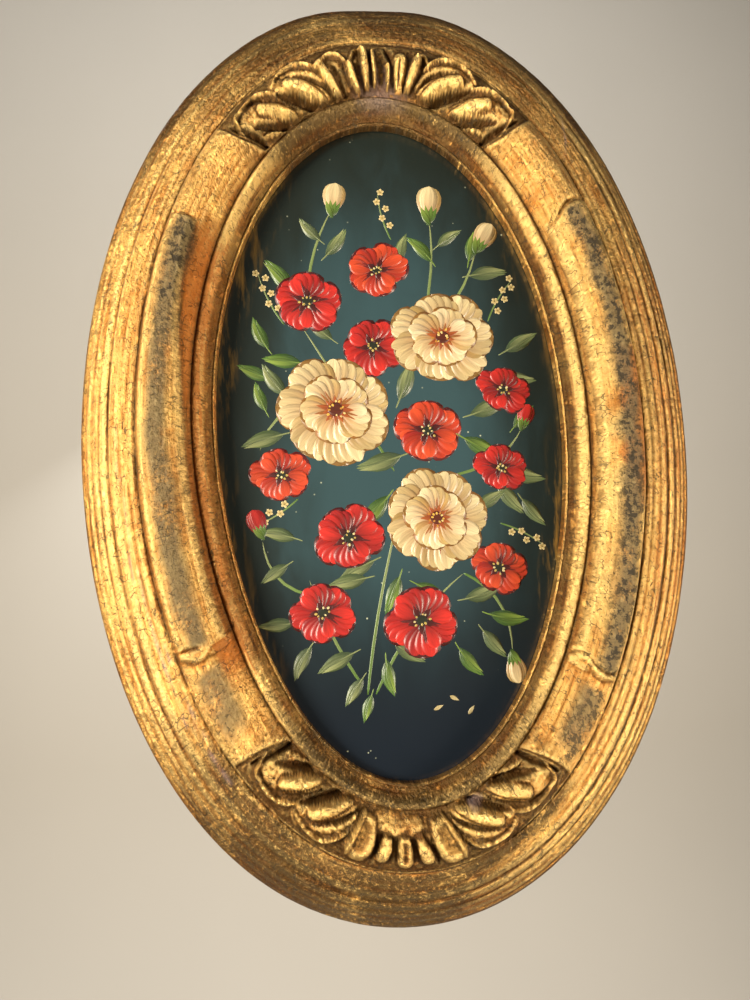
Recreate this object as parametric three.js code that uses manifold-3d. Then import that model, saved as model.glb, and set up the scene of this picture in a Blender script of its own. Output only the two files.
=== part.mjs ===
// A small oil painting on an oval panel, in a carved and gilded oval frame that hangs on a wall.
// Millimetres. +Z is up, the front faces -Y, the frame's back lies at Y = 0, and the origin is the
// middle of the hanger's rear face.
import * as THREE from 'three';
import { mergeVertices } from 'three/addons/utils/BufferGeometryUtils.js';
import Module from 'manifold-3d';

const wasm = await Module();
wasm.setup();

// The outer oval
const FRAME_LENGTH = 230;
const FRAME_WIDTH = 150;
const OVAL_FULLNESS = 0.011; // share by which the diagonals stand out beyond a true ellipse

// Hand work: the sight oval leans to the left in the ring and is a little egg-shaped, and the rim is
// worn flat at the top
const LEAN_SWAY = 1;
const LEAN_PHASE = THREE.MathUtils.degToRad(127);
const EGG_SWAY = 0.6;
const EGG_PHASE = THREE.MathUtils.degToRad(-172);
const TOP_WEAR = 1.2;
const TOP_WEAR_SPREAD = THREE.MathUtils.degToRad(9);

// Widths of the moulding's members, from the outer edge inwards
const OUTER_MEMBER_WIDTH = 14.3;
const MID_BAND_WIDTH = 13;
const BEAD_WIDTH = 1.8;
const COVE_WIDTH = 2.6;
const LIP_WIDTH = 0.8;

// What lies behind the sight edge, and the heights of the members above it
const PANEL_SETBACK = 3; // from the back plane to the panel
const PANEL_THICKNESS = 2.5;
const SEAT_GAP = 0.3; // between pieces that touch
const SIGHT_WALL = 2.7;
const COVE_RISE = 4.2;
const BEAD_DROP = 0.6;
const CREST_RISE = 4.5;
const GROOVE_DROP = 3.6;
const SHELF_RISE = 0.7;
const OUTER_FALL = 7;
const OUTER_CURVE = 1.9; // how fully the outer member bulges
const BACK_EDGE_CHAMFER = 1;
const COVE_DIP = 0.38; // how high the cove hangs half way down, as a share of its rise
const LIP_ROUND = 0.3;
const TORUS_SKEW = 0.8; // below 1 the mid band's crest lies nearer the outer groove
const TORUS_FULLNESS = 0.7; // below 1 its flanks are steeper than a sine's

// The groove that parts the outer member into two reeds
const REED_INSET = 7.4;
const REED_DEPTH = 0.6;
const REED_HALF_WIDTH = 0.7;

// The rebate, and the panel's play in it
const REBATE_WIDTH = 4;
const PANEL_PLAY = 0.5;

// Carving on the mid band. The palmettes sit a little to the left of the oval's long axis.
const PALMETTE_HALF_LENGTH = 41;
const TOP_PALMETTE_SHIFT = -2;
const BOTTOM_PALMETTE_SHIFT = 3;
const LEAF_RISE = 2.3;
const LEAF_HOLLOW = 0.8; // share of the rise that the flute takes out of a leaf
const GROUND_SINK = 0.9;
const END_CUT_DEPTH = 0.9;
const END_CUT_HALF_WIDTH = 0.9;
const END_AT_GROOVE = 1.04; // where the palmette's end cut starts, as a share of its half length
const END_SLANT = 0.16; // how much nearer the middle it ends at the bead
const BAND_MARGIN = 1; // over which the carving fades at the band's edges
const BAR_RISE = 1.3;
const BAR_EDGE = 1.5; // the width of the slope round a bar
const BAR_OUTER_MARGIN = 0.3; // from the groove, and from the bead, to a bar's long edges
const BAR_INNER_MARGIN = 1;
const TONGUE_LENGTH = 3;
const STEP_WAVE = 1;
const STEP_WAVE_LENGTH = 9;
const STEP_WAVE_START = 3;
const KNUCKLE_RISE = 0.9;
const KNUCKLE_HALF_LENGTH = 3.4;
const KNUCKLE_HALF_WIDTH = 1.6;

// The brads that hold the panel in
const BRAD_RADIUS = 0.6;
const BRAD_HEAD_RADIUS = 1;
const BRAD_HEAD_THICKNESS = 0.6;
const BRAD_BITE = 5;
const BRAD_REACH = 5;
const BRAD_CLEARANCE = 0.3;

// The toothed strip hanger, let in flush, with room behind it for the head of a wall nail
const HANGER_INSET = 12; // from the outer edge at the top to the strip's middle
const HANGER_LENGTH = 42;
const HANGER_HEIGHT = 8;
const HANGER_THICKNESS = 1.2;
const HANGER_CLEARANCE = 0.3;
const TOOTH_COUNT = 11;
const TOOTH_PITCH = 2;
const TOOTH_DEPTH = 1.2;
const NAIL_POCKET_MARGIN = 2; // beyond the row of teeth at each end
const NAIL_POCKET_DROP = 6; // how far the pocket reaches below the teeth
const NAIL_POCKET_DEPTH = 3.6;
const SCREW_MARGIN = 4; // from the strip's end to the middle of a screw
const SCREW_HEAD_RADIUS = 1.7;
const SCREW_HEAD_DEPTH = 0.9;
const SCREW_RADIUS = 0.8;
const SCREW_LENGTH = 6.5;

// How finely the ring is divided. The rows across the outer member are shares of its width.
const EDGE_ROWS = [0, 0.06, 0.18, 0.3];
const SHELF_ROWS = [0.65, 0.82, 0.93];
const CARVED_STEP = 1.3;
const PLAIN_STEP = 7;
const BAND_ROWS = 12;
const COARSE_COLUMNS = 76;
const SWEEP = 0.34; // share of a palmette's half length by which the mesh leans with its side leaves
const SWEEP_START = 0.1; // where it begins to lean, leans fully, eases and stands upright again, as
const SWEEP_FULL = 0.44; // shares of the half length from the palmette's middle
const SWEEP_EASE = 0.74;
const SWEEP_END = 1.15;
const ARC_SAMPLES = 1440;
const PANEL_SIDES = 72;
const ROUND_SIDES = 10;

const HALF_LENGTH = FRAME_LENGTH / 2;
const HALF_WIDTH = FRAME_WIDTH / 2;
const GROOVE_INSET = OUTER_MEMBER_WIDTH;
const BAND_END_INSET = GROOVE_INSET + MID_BAND_WIDTH;
const BEAD_INSET = BAND_END_INSET + BEAD_WIDTH / 2;
const COVE_INSET = BAND_END_INSET + BEAD_WIDTH;
const LIP_INSET = COVE_INSET + COVE_WIDTH;
const SIGHT_INSET = LIP_INSET + LIP_WIDTH;
const REBATE_INSET = SIGHT_INSET - REBATE_WIDTH;
const CREST_SHARE = 0.5 ** (1 / TORUS_SKEW);
const CREST_INSET = GROOVE_INSET + CREST_SHARE * MID_BAND_WIDTH;

const PANEL_FRONT = PANEL_SETBACK + PANEL_THICKNESS;
const SHOULDER_HEIGHT = PANEL_FRONT + SEAT_GAP;
const LIP_HEIGHT = SHOULDER_HEIGHT + SIGHT_WALL;
const BEAD_HEIGHT = LIP_HEIGHT + COVE_RISE;
const BAND_END_HEIGHT = BEAD_HEIGHT - BEAD_DROP;
const CREST_HEIGHT = BEAD_HEIGHT + CREST_RISE;
const GROOVE_HEIGHT = CREST_HEIGHT - GROOVE_DROP;
const SHELF_HEIGHT = GROOVE_HEIGHT + SHELF_RISE;

const CENTRE_Z = HANGER_INSET - HALF_LENGTH;
const SCREW_PLACE = HANGER_LENGTH / 2 - SCREW_MARGIN;

function smoothstep(low, high, x) {
  return THREE.MathUtils.smoothstep(x, low, high);
}

// A point of the ring: the angle runs clockwise from the top as seen from the front, the inset is
// measured in from the outer edge, and the height forward from the back plane.
function ringPoint(angle, inset, height) {
  const inward = smoothstep(0, COVE_INSET, inset);
  const sway = LEAN_SWAY * Math.cos(2 * angle + LEAN_PHASE) + EGG_SWAY * Math.cos(3 * angle + EGG_PHASE);
  const wear = TOP_WEAR * Math.exp(-((angle / TOP_WEAR_SPREAD) ** 2));
  const depth = inset - sway * inward + wear * (1 - inward);
  const full = 1 + OVAL_FULLNESS * (1 - inset / SIGHT_INSET) * Math.sin(2 * angle) ** 2;
  return new THREE.Vector3(
    (HALF_WIDTH - depth) * full * Math.sin(angle),
    -height,
    CENTRE_Z + (HALF_LENGTH - depth) * full * Math.cos(angle),
  );
}

// Distance along the crest line at evenly spaced angles from -180 to 180 degrees, 0 at the top
function measureCrest() {
  const arc = [{ angle: -Math.PI, along: 0 }];
  let last = ringPoint(-Math.PI, CREST_INSET, 0);
  for (let i = 1; i <= ARC_SAMPLES; i++) {
    const angle = (2 * Math.PI * i) / ARC_SAMPLES - Math.PI;
    const point = ringPoint(angle, CREST_INSET, 0);
    arc.push({ angle, along: arc[i - 1].along + point.distanceTo(last) });
    last = point;
  }
  const top = arc[ARC_SAMPLES / 2].along;
  return arc.map(({ angle, along }) => ({ angle, along: along - top }));
}

const CREST = measureCrest();
const CREST_START = CREST[0].along;
const CREST_END = CREST[ARC_SAMPLES].along;

function angleAt(along) {
  let low = 0;
  let high = ARC_SAMPLES;
  while (high - low > 1) {
    const middle = (low + high) >> 1;
    if (CREST[middle].along <= along) low = middle;
    else high = middle;
  }
  const share = (along - CREST[low].along) / (CREST[high].along - CREST[low].along);
  return THREE.MathUtils.lerp(CREST[low].angle, CREST[high].angle, share);
}

// One half of a palmette. Places are shares: the first of the palmette's half length, from its middle,
// the second of the mid band's width, from the outer groove. Widths are shares of the half length, and
// the flute is how far the scoop lies aside of the leaf's middle, towards the bead, as a share of it.
const LEAVES = [
  { name: 'middle', root: [0, 0.93], tip: [0, 0.08], halfWidth: 0.066, bow: 0, flute: 0 },
  { name: 'sprig', root: [0.09, 0.9], tip: [0.13, 0.16], halfWidth: 0.045, bow: 0, flute: 0 },
  { name: 'lobe', root: [0.18, 0.98], tip: [0.28, 0.1], halfWidth: 0.092, bow: 0, flute: 0 },
  { name: 'side leaf', root: [0.29, 1.02], tip: [0.63, 0.14], halfWidth: 0.118, bow: 0.03, flute: 0.2 },
  { name: 'end leaf', root: [0.53, 1.06], tip: [0.97, 0.24], halfWidth: 0.125, bow: 0.03, flute: 0.2 },
];
const TIP_START = 0.66; // where a leaf begins to round off, as a share of its length
const ROOT_FADE = 0.2; // how soon it reaches its full height
const ROOT_NARROWING = 0.6; // its width at the root, as a share of its widest
const LEAF_EDGE = 0.45; // the slope at its edge, as a share of its half width
const FLUTE_WIDTH = 0.42;
const FLUTE_START = 0.05;
const FLUTE_FULL = 0.3;
const FLUTE_END = 0.92;

// Height of one leaf at a place on the band, from 0 outside it to 1 on its rim
function leafHeight(leaf, along, inset) {
  const rootAlong = leaf.root[0] * PALMETTE_HALF_LENGTH;
  const rootInset = GROOVE_INSET + leaf.root[1] * MID_BAND_WIDTH;
  const runAlong = leaf.tip[0] * PALMETTE_HALF_LENGTH - rootAlong;
  const runInset = GROOVE_INSET + leaf.tip[1] * MID_BAND_WIDTH - rootInset;
  const length = Math.hypot(runAlong, runInset);
  const rise = ((along - rootAlong) * runAlong + (inset - rootInset) * runInset) / length ** 2;
  if (rise <= 0 || rise >= 1) return 0;
  const bow = leaf.bow * PALMETTE_HALF_LENGTH * 4 * rise * (1 - rise);
  const aside = ((inset - rootInset) * runAlong - (along - rootAlong) * runInset) / length - bow;
  const roundTip = Math.sqrt(1 - Math.max(0, (rise - TIP_START) / (1 - TIP_START)) ** 2);
  const spread = THREE.MathUtils.lerp(ROOT_NARROWING, 1, smoothstep(0, TIP_START, rise));
  const across = aside / (leaf.halfWidth * PALMETTE_HALF_LENGTH * roundTip * spread);
  if (Math.abs(across) >= 1) return 0;
  const flute = Math.exp(-(((across - leaf.flute) / FLUTE_WIDTH) ** 2))
    * smoothstep(FLUTE_START, FLUTE_FULL, rise) * (1 - smoothstep(TIP_START, FLUTE_END, rise));
  const body = smoothstep(0, LEAF_EDGE, 1 - Math.abs(across)) * smoothstep(0, ROOT_FADE, rise);
  return body * (1 - LEAF_HOLLOW * flute);
}

// Where a palmette ends: the cut slants in towards the bead
function palmetteEnd(inset) {
  const share = (inset - GROOVE_INSET) / MID_BAND_WIDTH;
  return PALMETTE_HALF_LENGTH * (END_AT_GROOVE - END_SLANT * share ** 2);
}

// What a palmette adds to the band at a distance from the palmette's middle
function palmetteRelief(distance, inset) {
  const along = Math.abs(distance);
  const end = palmetteEnd(inset);
  const cut = END_CUT_DEPTH * Math.max(0, 1 - Math.abs(along - end) / END_CUT_HALF_WIDTH);
  const onBand = smoothstep(GROOVE_INSET, GROOVE_INSET + BAND_MARGIN, inset)
    * (1 - smoothstep(BAND_END_INSET - BAND_MARGIN, BAND_END_INSET, inset));
  if (along > end) return -cut * onBand;
  const leaf = Math.max(...LEAVES.map((one) => leafHeight(one, along, inset)));
  return (leaf * LEAF_RISE - GROUND_SINK - cut) * onBand;
}

// The raised side bars. Each runs between the palmettes, with a gap at either end. The upper end is a
// rounded tongue, the lower end a waved step with a knuckle, and the left bar narrows upwards.
const BARS = [
  { side: 1, upperGap: 22, lowerGap: 19.7, taper: 0, knuckle: 0.82 },
  { side: -1, upperGap: 26, lowerGap: 28.2, taper: 4, knuckle: 0.73 },
].map(({ side, upperGap, lowerGap, taper, knuckle }) => ({
  side,
  taper,
  upper: PALMETTE_HALF_LENGTH + upperGap,
  lower: (side > 0 ? CREST_END : -CREST_START) - PALMETTE_HALF_LENGTH - lowerGap,
  knuckleInset: GROOVE_INSET + knuckle * MID_BAND_WIDTH,
}));
const BAR_OUTER_INSET = GROOVE_INSET + BAR_OUTER_MARGIN;
const BAR_INNER_INSET = BAND_END_INSET - BAR_INNER_MARGIN;
const BAR_MIDDLE_INSET = (BAR_OUTER_INSET + BAR_INNER_INSET) / 2;

function barRelief(along, inset) {
  let relief = 0;
  for (const bar of BARS) {
    const run = along * bar.side;
    const middle = (bar.upper + bar.lower) / 2;
    const narrowing = bar.taper * (1 - smoothstep(bar.upper, middle, run));
    const tongue = TONGUE_LENGTH * ((inset - BAR_MIDDLE_INSET) / (MID_BAND_WIDTH / 2)) ** 2;
    const turn = (inset - GROOVE_INSET - STEP_WAVE_START) / STEP_WAVE_LENGTH;
    const wave = STEP_WAVE * Math.sin(2 * Math.PI * turn);
    const start = bar.upper + tongue;
    const finish = bar.lower + wave;
    const lengthwise = smoothstep(start - BAR_EDGE / 2, start + BAR_EDGE / 2, run)
      * (1 - smoothstep(finish - BAR_EDGE / 2, finish + BAR_EDGE / 2, run));
    const inner = BAR_INNER_INSET - narrowing;
    const crosswise = smoothstep(BAR_OUTER_INSET, BAR_OUTER_INSET + BAR_EDGE, inset)
      * (1 - smoothstep(inner - BAR_EDGE, inner, inset));
    relief += BAR_RISE * lengthwise * crosswise;
    const knuckle = ((run - bar.lower) / KNUCKLE_HALF_WIDTH) ** 2
      + ((inset - bar.knuckleInset) / KNUCKLE_HALF_LENGTH) ** 2;
    const onBand = 1 - smoothstep(BAND_END_INSET - BAND_MARGIN, BAND_END_INSET, inset);
    relief = Math.max(relief, KNUCKLE_RISE * Math.sqrt(Math.max(0, 1 - knuckle)) * onBand);
  }
  return relief;
}

// Height of the mid band with its carving
function bandHeight(along, inset) {
  const share = (inset - GROOVE_INSET) / MID_BAND_WIDTH;
  const base = THREE.MathUtils.lerp(GROOVE_HEIGHT, BAND_END_HEIGHT, share);
  const crestBase = THREE.MathUtils.lerp(GROOVE_HEIGHT, BAND_END_HEIGHT, CREST_SHARE);
  const arch = Math.max(0, Math.sin(Math.PI * share ** TORUS_SKEW)) ** TORUS_FULLNESS;
  const torus = (CREST_HEIGHT - crestBase) * arch;
  const top = palmetteRelief(along - TOP_PALMETTE_SHIFT, inset);
  const fromBottom = along > 0 ? along - CREST_END : along - CREST_START;
  const bottom = palmetteRelief(fromBottom - BOTTOM_PALMETTE_SHIFT, inset);
  return base + torus + top + bottom + barRelief(along, inset);
}

// Height of the outer member: a convex fall to the edge, parted by the reed groove
function outerHeight(inset) {
  const share = inset / OUTER_MEMBER_WIDTH;
  const fall = OUTER_FALL * (1 - share) ** OUTER_CURVE;
  const groove = REED_DEPTH * Math.max(0, 1 - Math.abs(inset - REED_INSET) / REED_HALF_WIDTH);
  return SHELF_HEIGHT - fall - groove;
}

// Even stations round the ring, as distances along the crest line
function coarseStations() {
  const length = CREST_END - CREST_START;
  return Array.from({ length: COARSE_COLUMNS }, (_, i) => CREST_START + (length * i) / COARSE_COLUMNS);
}

// How far a column of the mesh leans outwards along the band as it crosses it, so that it runs with the
// leaves' sweep: nothing at a palmette's middle, most at the side leaf and end leaf, nothing beyond them
function sweepAt(distance) {
  const share = Math.abs(distance) / PALMETTE_HALF_LENGTH;
  const lean = smoothstep(SWEEP_START, SWEEP_FULL, share)
    * (1 - smoothstep(SWEEP_EASE, SWEEP_END, share));
  return Math.sign(distance) * lean * SWEEP * PALMETTE_HALF_LENGTH;
}

function sweptStations(stations, share) {
  return stations.map((along) => {
    const fromBottom = along > 0 ? along - CREST_END : along - CREST_START;
    const sweep = sweepAt(along - TOP_PALMETTE_SHIFT) + sweepAt(fromBottom - BOTTOM_PALMETTE_SHIFT);
    return along + sweep * (0.5 - share);
  });
}

function isCarved(along) {
  const margin = 2 * CARVED_STEP;
  const reach = SWEEP_END * PALMETTE_HALF_LENGTH;
  const nearTop = Math.abs(along - TOP_PALMETTE_SHIFT) < reach;
  const fromBottom = along > 0 ? along - CREST_END : along - CREST_START;
  const nearBottom = Math.abs(fromBottom - BOTTOM_PALMETTE_SHIFT) < reach;
  const nearBarEnd = BARS.some(({ side, upper, lower }) => {
    const run = along * side;
    return (run > upper - margin && run < upper + TONGUE_LENGTH + margin)
      || Math.abs(run - lower) < STEP_WAVE + margin;
  });
  return nearTop || nearBottom || nearBarEnd;
}

// Close stations where the band is carved, wide ones where it is plain
function bandStations() {
  const stations = [CREST_START];
  let along = CREST_START;
  while (along < CREST_END - CARVED_STEP) {
    const near = isCarved(along) || isCarved(along + CARVED_STEP);
    let step = near ? CARVED_STEP : PLAIN_STEP;
    while (!near && step > CARVED_STEP && isCarved(along + step)) step -= CARVED_STEP;
    along += step;
    if (along < CREST_END - CARVED_STEP / 2) stations.push(along);
  }
  return stations;
}

// The section as a closed run of rows: the face from the edge to the sight, then the rebate and back
function ringRows() {
  const coarse = coarseStations();
  const fine = bandStations();
  const rows = [];
  const add = (stations, inset, height) => rows.push({ stations, inset, height });
  const flat = (height) => () => height;
  for (const share of EDGE_ROWS) {
    const inset = share * OUTER_MEMBER_WIDTH;
    add(coarse, inset, flat(outerHeight(inset)));
  }
  for (const aside of [-1, 0, 1]) {
    const inset = REED_INSET + aside * REED_HALF_WIDTH;
    add(coarse, inset, flat(outerHeight(inset)));
  }
  for (const share of SHELF_ROWS) {
    const inset = share * OUTER_MEMBER_WIDTH;
    add(coarse, inset, flat(outerHeight(inset)));
  }
  for (let i = 0; i <= BAND_ROWS; i++) {
    const share = i / BAND_ROWS;
    const inset = GROOVE_INSET + MID_BAND_WIDTH * share;
    add(sweptStations(fine, share), inset, (along) => bandHeight(along, inset));
  }
  add(coarse, BEAD_INSET, flat(BEAD_HEIGHT));
  add(coarse, COVE_INSET, flat(BAND_END_HEIGHT - BEAD_DROP / 2));
  add(coarse, COVE_INSET + COVE_WIDTH / 2, flat(LIP_HEIGHT + COVE_DIP * COVE_RISE));
  add(coarse, LIP_INSET, flat(LIP_HEIGHT));
  add(coarse, SIGHT_INSET, flat(LIP_HEIGHT - LIP_ROUND));
  add(coarse, SIGHT_INSET, flat(SHOULDER_HEIGHT));
  add(coarse, REBATE_INSET, flat(SHOULDER_HEIGHT));
  add(coarse, REBATE_INSET, flat(0));
  add(coarse, BACK_EDGE_CHAMFER, flat(0));
  add(coarse, 0, flat(BACK_EDGE_CHAMFER));
  return rows;
}

// Joins the rows into one closed surface. Neighbouring rows may have different stations.
function ringGeometry(rows) {
  const positions = [];
  const rings = rows.map(({ stations, inset, height }) => {
    const first = positions.length / 3;
    for (const along of stations) {
      positions.push(...ringPoint(angleAt(along), inset, height(along)).toArray());
    }
    return { stations, first };
  });
  const index = [];
  const lap = CREST_END - CREST_START;
  const stationOf = ({ stations }, i) => stations[i % stations.length]
    + (i < stations.length ? 0 : lap);
  const vertexOf = (ring, i) => ring.first + (i % ring.stations.length);
  const depthOf = (ring, i) => positions[3 * vertexOf(ring, i) + 1];
  // Whether the diagonal from the next station of this row to the present one of the next row is the
  // more level of the two, and so lies along a leaf's ridge and not across it
  const followsRidge = (ring, next, i) => Math.abs(depthOf(ring, i + 1) - depthOf(next, i))
    < Math.abs(depthOf(ring, i) - depthOf(next, i + 1));
  rings.forEach((ring, r) => {
    const next = rings[(r + 1) % rings.length];
    let i = 0;
    let j = 0;
    const matched = ring.stations.length === next.stations.length;
    while (i < ring.stations.length || j < next.stations.length) {
      const advanceRing = j === next.stations.length || (matched
        ? i < j || (i === j && followsRidge(ring, next, i))
        : i < ring.stations.length && stationOf(ring, i + 1) <= stationOf(next, j + 1));
      if (advanceRing) {
        index.push(vertexOf(ring, i), vertexOf(next, j), vertexOf(ring, i + 1));
        i += 1;
      } else {
        index.push(vertexOf(ring, i), vertexOf(next, j), vertexOf(next, j + 1));
        j += 1;
      }
    }
  });
  const geometry = new THREE.BufferGeometry();
  geometry.setAttribute('position', new THREE.Float32BufferAttribute(positions, 3));
  geometry.setIndex(index);
  return geometry;
}

function toSolid(geometry) {
  const bare = geometry.clone();
  bare.deleteAttribute('normal');
  bare.deleteAttribute('uv');
  const merged = mergeVertices(bare, 1e-5);
  return new wasm.Manifold(new wasm.Mesh({
    numProp: 3,
    vertProperties: Float32Array.from(merged.attributes.position.array),
    triVerts: Uint32Array.from(merged.index.array),
  }));
}

function toGeometry(solid) {
  const mesh = solid.getMesh();
  const geometry = new THREE.BufferGeometry();
  geometry.setAttribute('position', new THREE.Float32BufferAttribute(mesh.vertProperties, 3));
  geometry.setIndex(Array.from(mesh.triVerts));
  const faceted = geometry.toNonIndexed();
  faceted.computeVertexNormals();
  return faceted;
}

// A turned piece along +Y: each pair is a radius and a place along the axis
function turned(outline) {
  return new THREE.LatheGeometry(outline.map(([radius, y]) => new THREE.Vector2(radius, y)), ROUND_SIDES);
}

// A flat piece in the plane of the back: the outline is drawn in X and Z, and it reaches forward
// from one height above the back plane to another.
function plate(points, from, to) {
  const shape = new THREE.Shape(points.map(([x, z]) => new THREE.Vector2(x, z)));
  const geometry = new THREE.ExtrudeGeometry(shape, { depth: to - from, bevelEnabled: false });
  geometry.rotateX(Math.PI / 2);
  geometry.translate(0, -from, 0);
  return geometry;
}

// The hanger's outline: a strip with a row of teeth in the middle of its lower edge
function hangerOutline(margin) {
  const x = HANGER_LENGTH / 2 + margin;
  const z = HANGER_HEIGHT / 2 + margin;
  return [[-x, -z], [-x, z], [x, z], [x, -z]];
}

function toothedOutline() {
  const points = hangerOutline(0);
  const low = -HANGER_HEIGHT / 2;
  const start = (TOOTH_COUNT * TOOTH_PITCH) / 2;
  for (let i = 0; i < TOOTH_COUNT; i++) {
    points.push([start - i * TOOTH_PITCH, low]);
    points.push([start - (i + 0.5) * TOOTH_PITCH, low + TOOTH_DEPTH]);
  }
  points.push([-start, low]);
  return points;
}

// The screw's head is a cone flush with the strip's rear face; the seat is the same shape with play
function screwOutline(play) {
  const tip = -(SCREW_LENGTH + play);
  return [
    [0, tip],
    [SCREW_RADIUS + play, tip + (SCREW_RADIUS + play)],
    [SCREW_RADIUS + play, -SCREW_HEAD_DEPTH],
    [SCREW_HEAD_RADIUS + play, play],
    [0, play],
  ];
}

function screwSeats() {
  return [-1, 1].map((side) => {
    const seat = turned(screwOutline(HANGER_CLEARANCE));
    seat.translate(side * SCREW_PLACE, 0, 0);
    return toSolid(seat);
  });
}

const BRAD_HEIGHT = PANEL_SETBACK - SEAT_GAP - BRAD_HEAD_RADIUS;
const BRADS = [
  { name: 'brad_upper_right', angle: Math.PI / 4 },
  { name: 'brad_lower_right', angle: (3 * Math.PI) / 4 },
  { name: 'brad_lower_left', angle: (-3 * Math.PI) / 4 },
  { name: 'brad_upper_left', angle: -Math.PI / 4 },
];

// Turns a piece made along +Y to point outwards through the rebate's wall, with Y = 0 at the wall
function aimBrad(object, angle) {
  const wall = ringPoint(angle, REBATE_INSET, BRAD_HEIGHT);
  const outward = ringPoint(angle, REBATE_INSET - 1, BRAD_HEIGHT).sub(wall).normalize();
  object.quaternion.setFromUnitVectors(new THREE.Vector3(0, 1, 0), outward);
  object.position.copy(wall);
  return object;
}

function bradHoles() {
  return BRADS.map(({ angle }) => {
    const radius = BRAD_RADIUS + BRAD_CLEARANCE;
    const hole = turned([[0, -1], [radius, -1], [radius, BRAD_BITE + BRAD_CLEARANCE],
      [0, BRAD_BITE + BRAD_CLEARANCE]]);
    const placed = aimBrad(new THREE.Object3D(), angle);
    placed.updateMatrix();
    return toSolid(hole.applyMatrix4(placed.matrix));
  });
}

function frameGeometry() {
  const letIn = plate(hangerOutline(HANGER_CLEARANCE), -1, HANGER_THICKNESS + HANGER_CLEARANCE);
  const halfPocket = (TOOTH_COUNT * TOOTH_PITCH) / 2 + NAIL_POCKET_MARGIN;
  const pocketFloor = -(HANGER_HEIGHT / 2 + NAIL_POCKET_DROP);
  const pocket = plate([[-halfPocket, pocketFloor], [-halfPocket, 0], [halfPocket, 0],
    [halfPocket, pocketFloor]], -1, NAIL_POCKET_DEPTH);
  let solid = toSolid(ringGeometry(ringRows()));
  for (const cutter of [toSolid(letIn), toSolid(pocket), ...screwSeats(), ...bradHoles()]) {
    solid = solid.subtract(cutter);
  }
  return toGeometry(solid);
}

function panelGeometry() {
  const inset = REBATE_INSET + PANEL_PLAY;
  const points = Array.from({ length: PANEL_SIDES }, (_, i) => {
    const point = ringPoint((2 * Math.PI * i) / PANEL_SIDES - Math.PI, inset, 0);
    return [point.x, point.z];
  });
  return plate(points, PANEL_SETBACK, PANEL_FRONT);
}

function hangerGeometry() {
  let strip = toSolid(plate(toothedOutline(), 0, HANGER_THICKNESS));
  for (const seat of screwSeats()) strip = strip.subtract(seat);
  return toGeometry(strip);
}

function named(name, geometry, material) {
  const mesh = new THREE.Mesh(geometry, material);
  mesh.name = name;
  return mesh;
}

const gilding = () => new THREE.MeshStandardMaterial({ color: 0xc89a45, roughness: 0.38, metalness: 0.9 });
const paint = () => new THREE.MeshStandardMaterial({ color: 0x2c4239, roughness: 0.25, metalness: 0 });
const steel = () => new THREE.MeshStandardMaterial({ color: 0x8d8a80, roughness: 0.4, metalness: 1 });
const brassPlate = () => new THREE.MeshStandardMaterial({ color: 0xb79a52, roughness: 0.35, metalness: 1 });

const group = new THREE.Group();
group.add(named('frame', frameGeometry(), gilding()));
group.add(named('painted_panel', panelGeometry(), paint()));
for (const { name, angle } of BRADS) {
  const brad = turned([[0, -BRAD_REACH], [BRAD_HEAD_RADIUS, -BRAD_REACH],
    [BRAD_HEAD_RADIUS, BRAD_HEAD_THICKNESS - BRAD_REACH], [BRAD_RADIUS, BRAD_HEAD_THICKNESS - BRAD_REACH],
    [BRAD_RADIUS, BRAD_BITE - BRAD_RADIUS], [0, BRAD_BITE]]);
  group.add(aimBrad(named(name, brad, steel()), angle));
}
group.add(named('hanger', hangerGeometry(), brassPlate()));
for (const [name, side] of [['hanger_screw_left', -1], ['hanger_screw_right', 1]]) {
  const screw = named(name, turned(screwOutline(0)), brassPlate());
  screw.position.x = side * SCREW_PLACE;
  group.add(screw);
}

export default group;
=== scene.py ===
"""Looks of a small oil painting in a carved and gilded oval frame that hangs on a wall.

Blender 4.5. Blender's scene is in metres and the sizes below are in millimetres. +Z is up, the painted
face looks along -Y, and the frame's flat back lies at Y = 0.
"""

import logging
import math
import random
from dataclasses import dataclass, field
from enum import Enum
from functools import cached_property
from typing import Any, Callable

import bpy
import numpy as np
from mathutils import Matrix, Vector

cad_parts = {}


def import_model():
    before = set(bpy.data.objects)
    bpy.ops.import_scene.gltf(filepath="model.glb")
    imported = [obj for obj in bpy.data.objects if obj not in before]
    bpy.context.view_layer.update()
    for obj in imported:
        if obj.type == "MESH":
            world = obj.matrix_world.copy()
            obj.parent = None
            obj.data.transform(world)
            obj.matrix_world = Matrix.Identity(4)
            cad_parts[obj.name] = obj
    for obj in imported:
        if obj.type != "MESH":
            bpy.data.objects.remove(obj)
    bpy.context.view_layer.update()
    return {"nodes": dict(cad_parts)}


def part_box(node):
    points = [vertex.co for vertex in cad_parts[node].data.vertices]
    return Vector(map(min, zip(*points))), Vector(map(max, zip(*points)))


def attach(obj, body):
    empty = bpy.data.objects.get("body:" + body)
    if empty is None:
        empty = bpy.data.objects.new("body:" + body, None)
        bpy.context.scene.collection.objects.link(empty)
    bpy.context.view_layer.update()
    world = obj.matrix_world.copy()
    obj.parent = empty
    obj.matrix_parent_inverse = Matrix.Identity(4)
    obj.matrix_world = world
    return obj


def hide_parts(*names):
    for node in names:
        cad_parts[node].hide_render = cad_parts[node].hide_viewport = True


MM = 0.001
LOG = logging.getLogger("framed_painting")

Array = np.ndarray
Point = tuple[float, float]
Triple = tuple[float, float, float]
Socket = bpy.types.NodeSocket


def linear(colour: str) -> tuple[float, float, float, float]:
    """Turn an sRGB hex colour into Blender's linear RGBA.

    Args:
        colour: Six hex digits.

    Returns:
        The linear colour with full alpha.
    """
    channels = [int(colour[i:i + 2], 16) / 255 for i in (0, 2, 4)]
    red, green, blue = (c / 12.92 if c <= 0.04045 else ((c + 0.055) / 1.055) ** 2.4 for c in channels)
    return red, green, blue, 1.0


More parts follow.
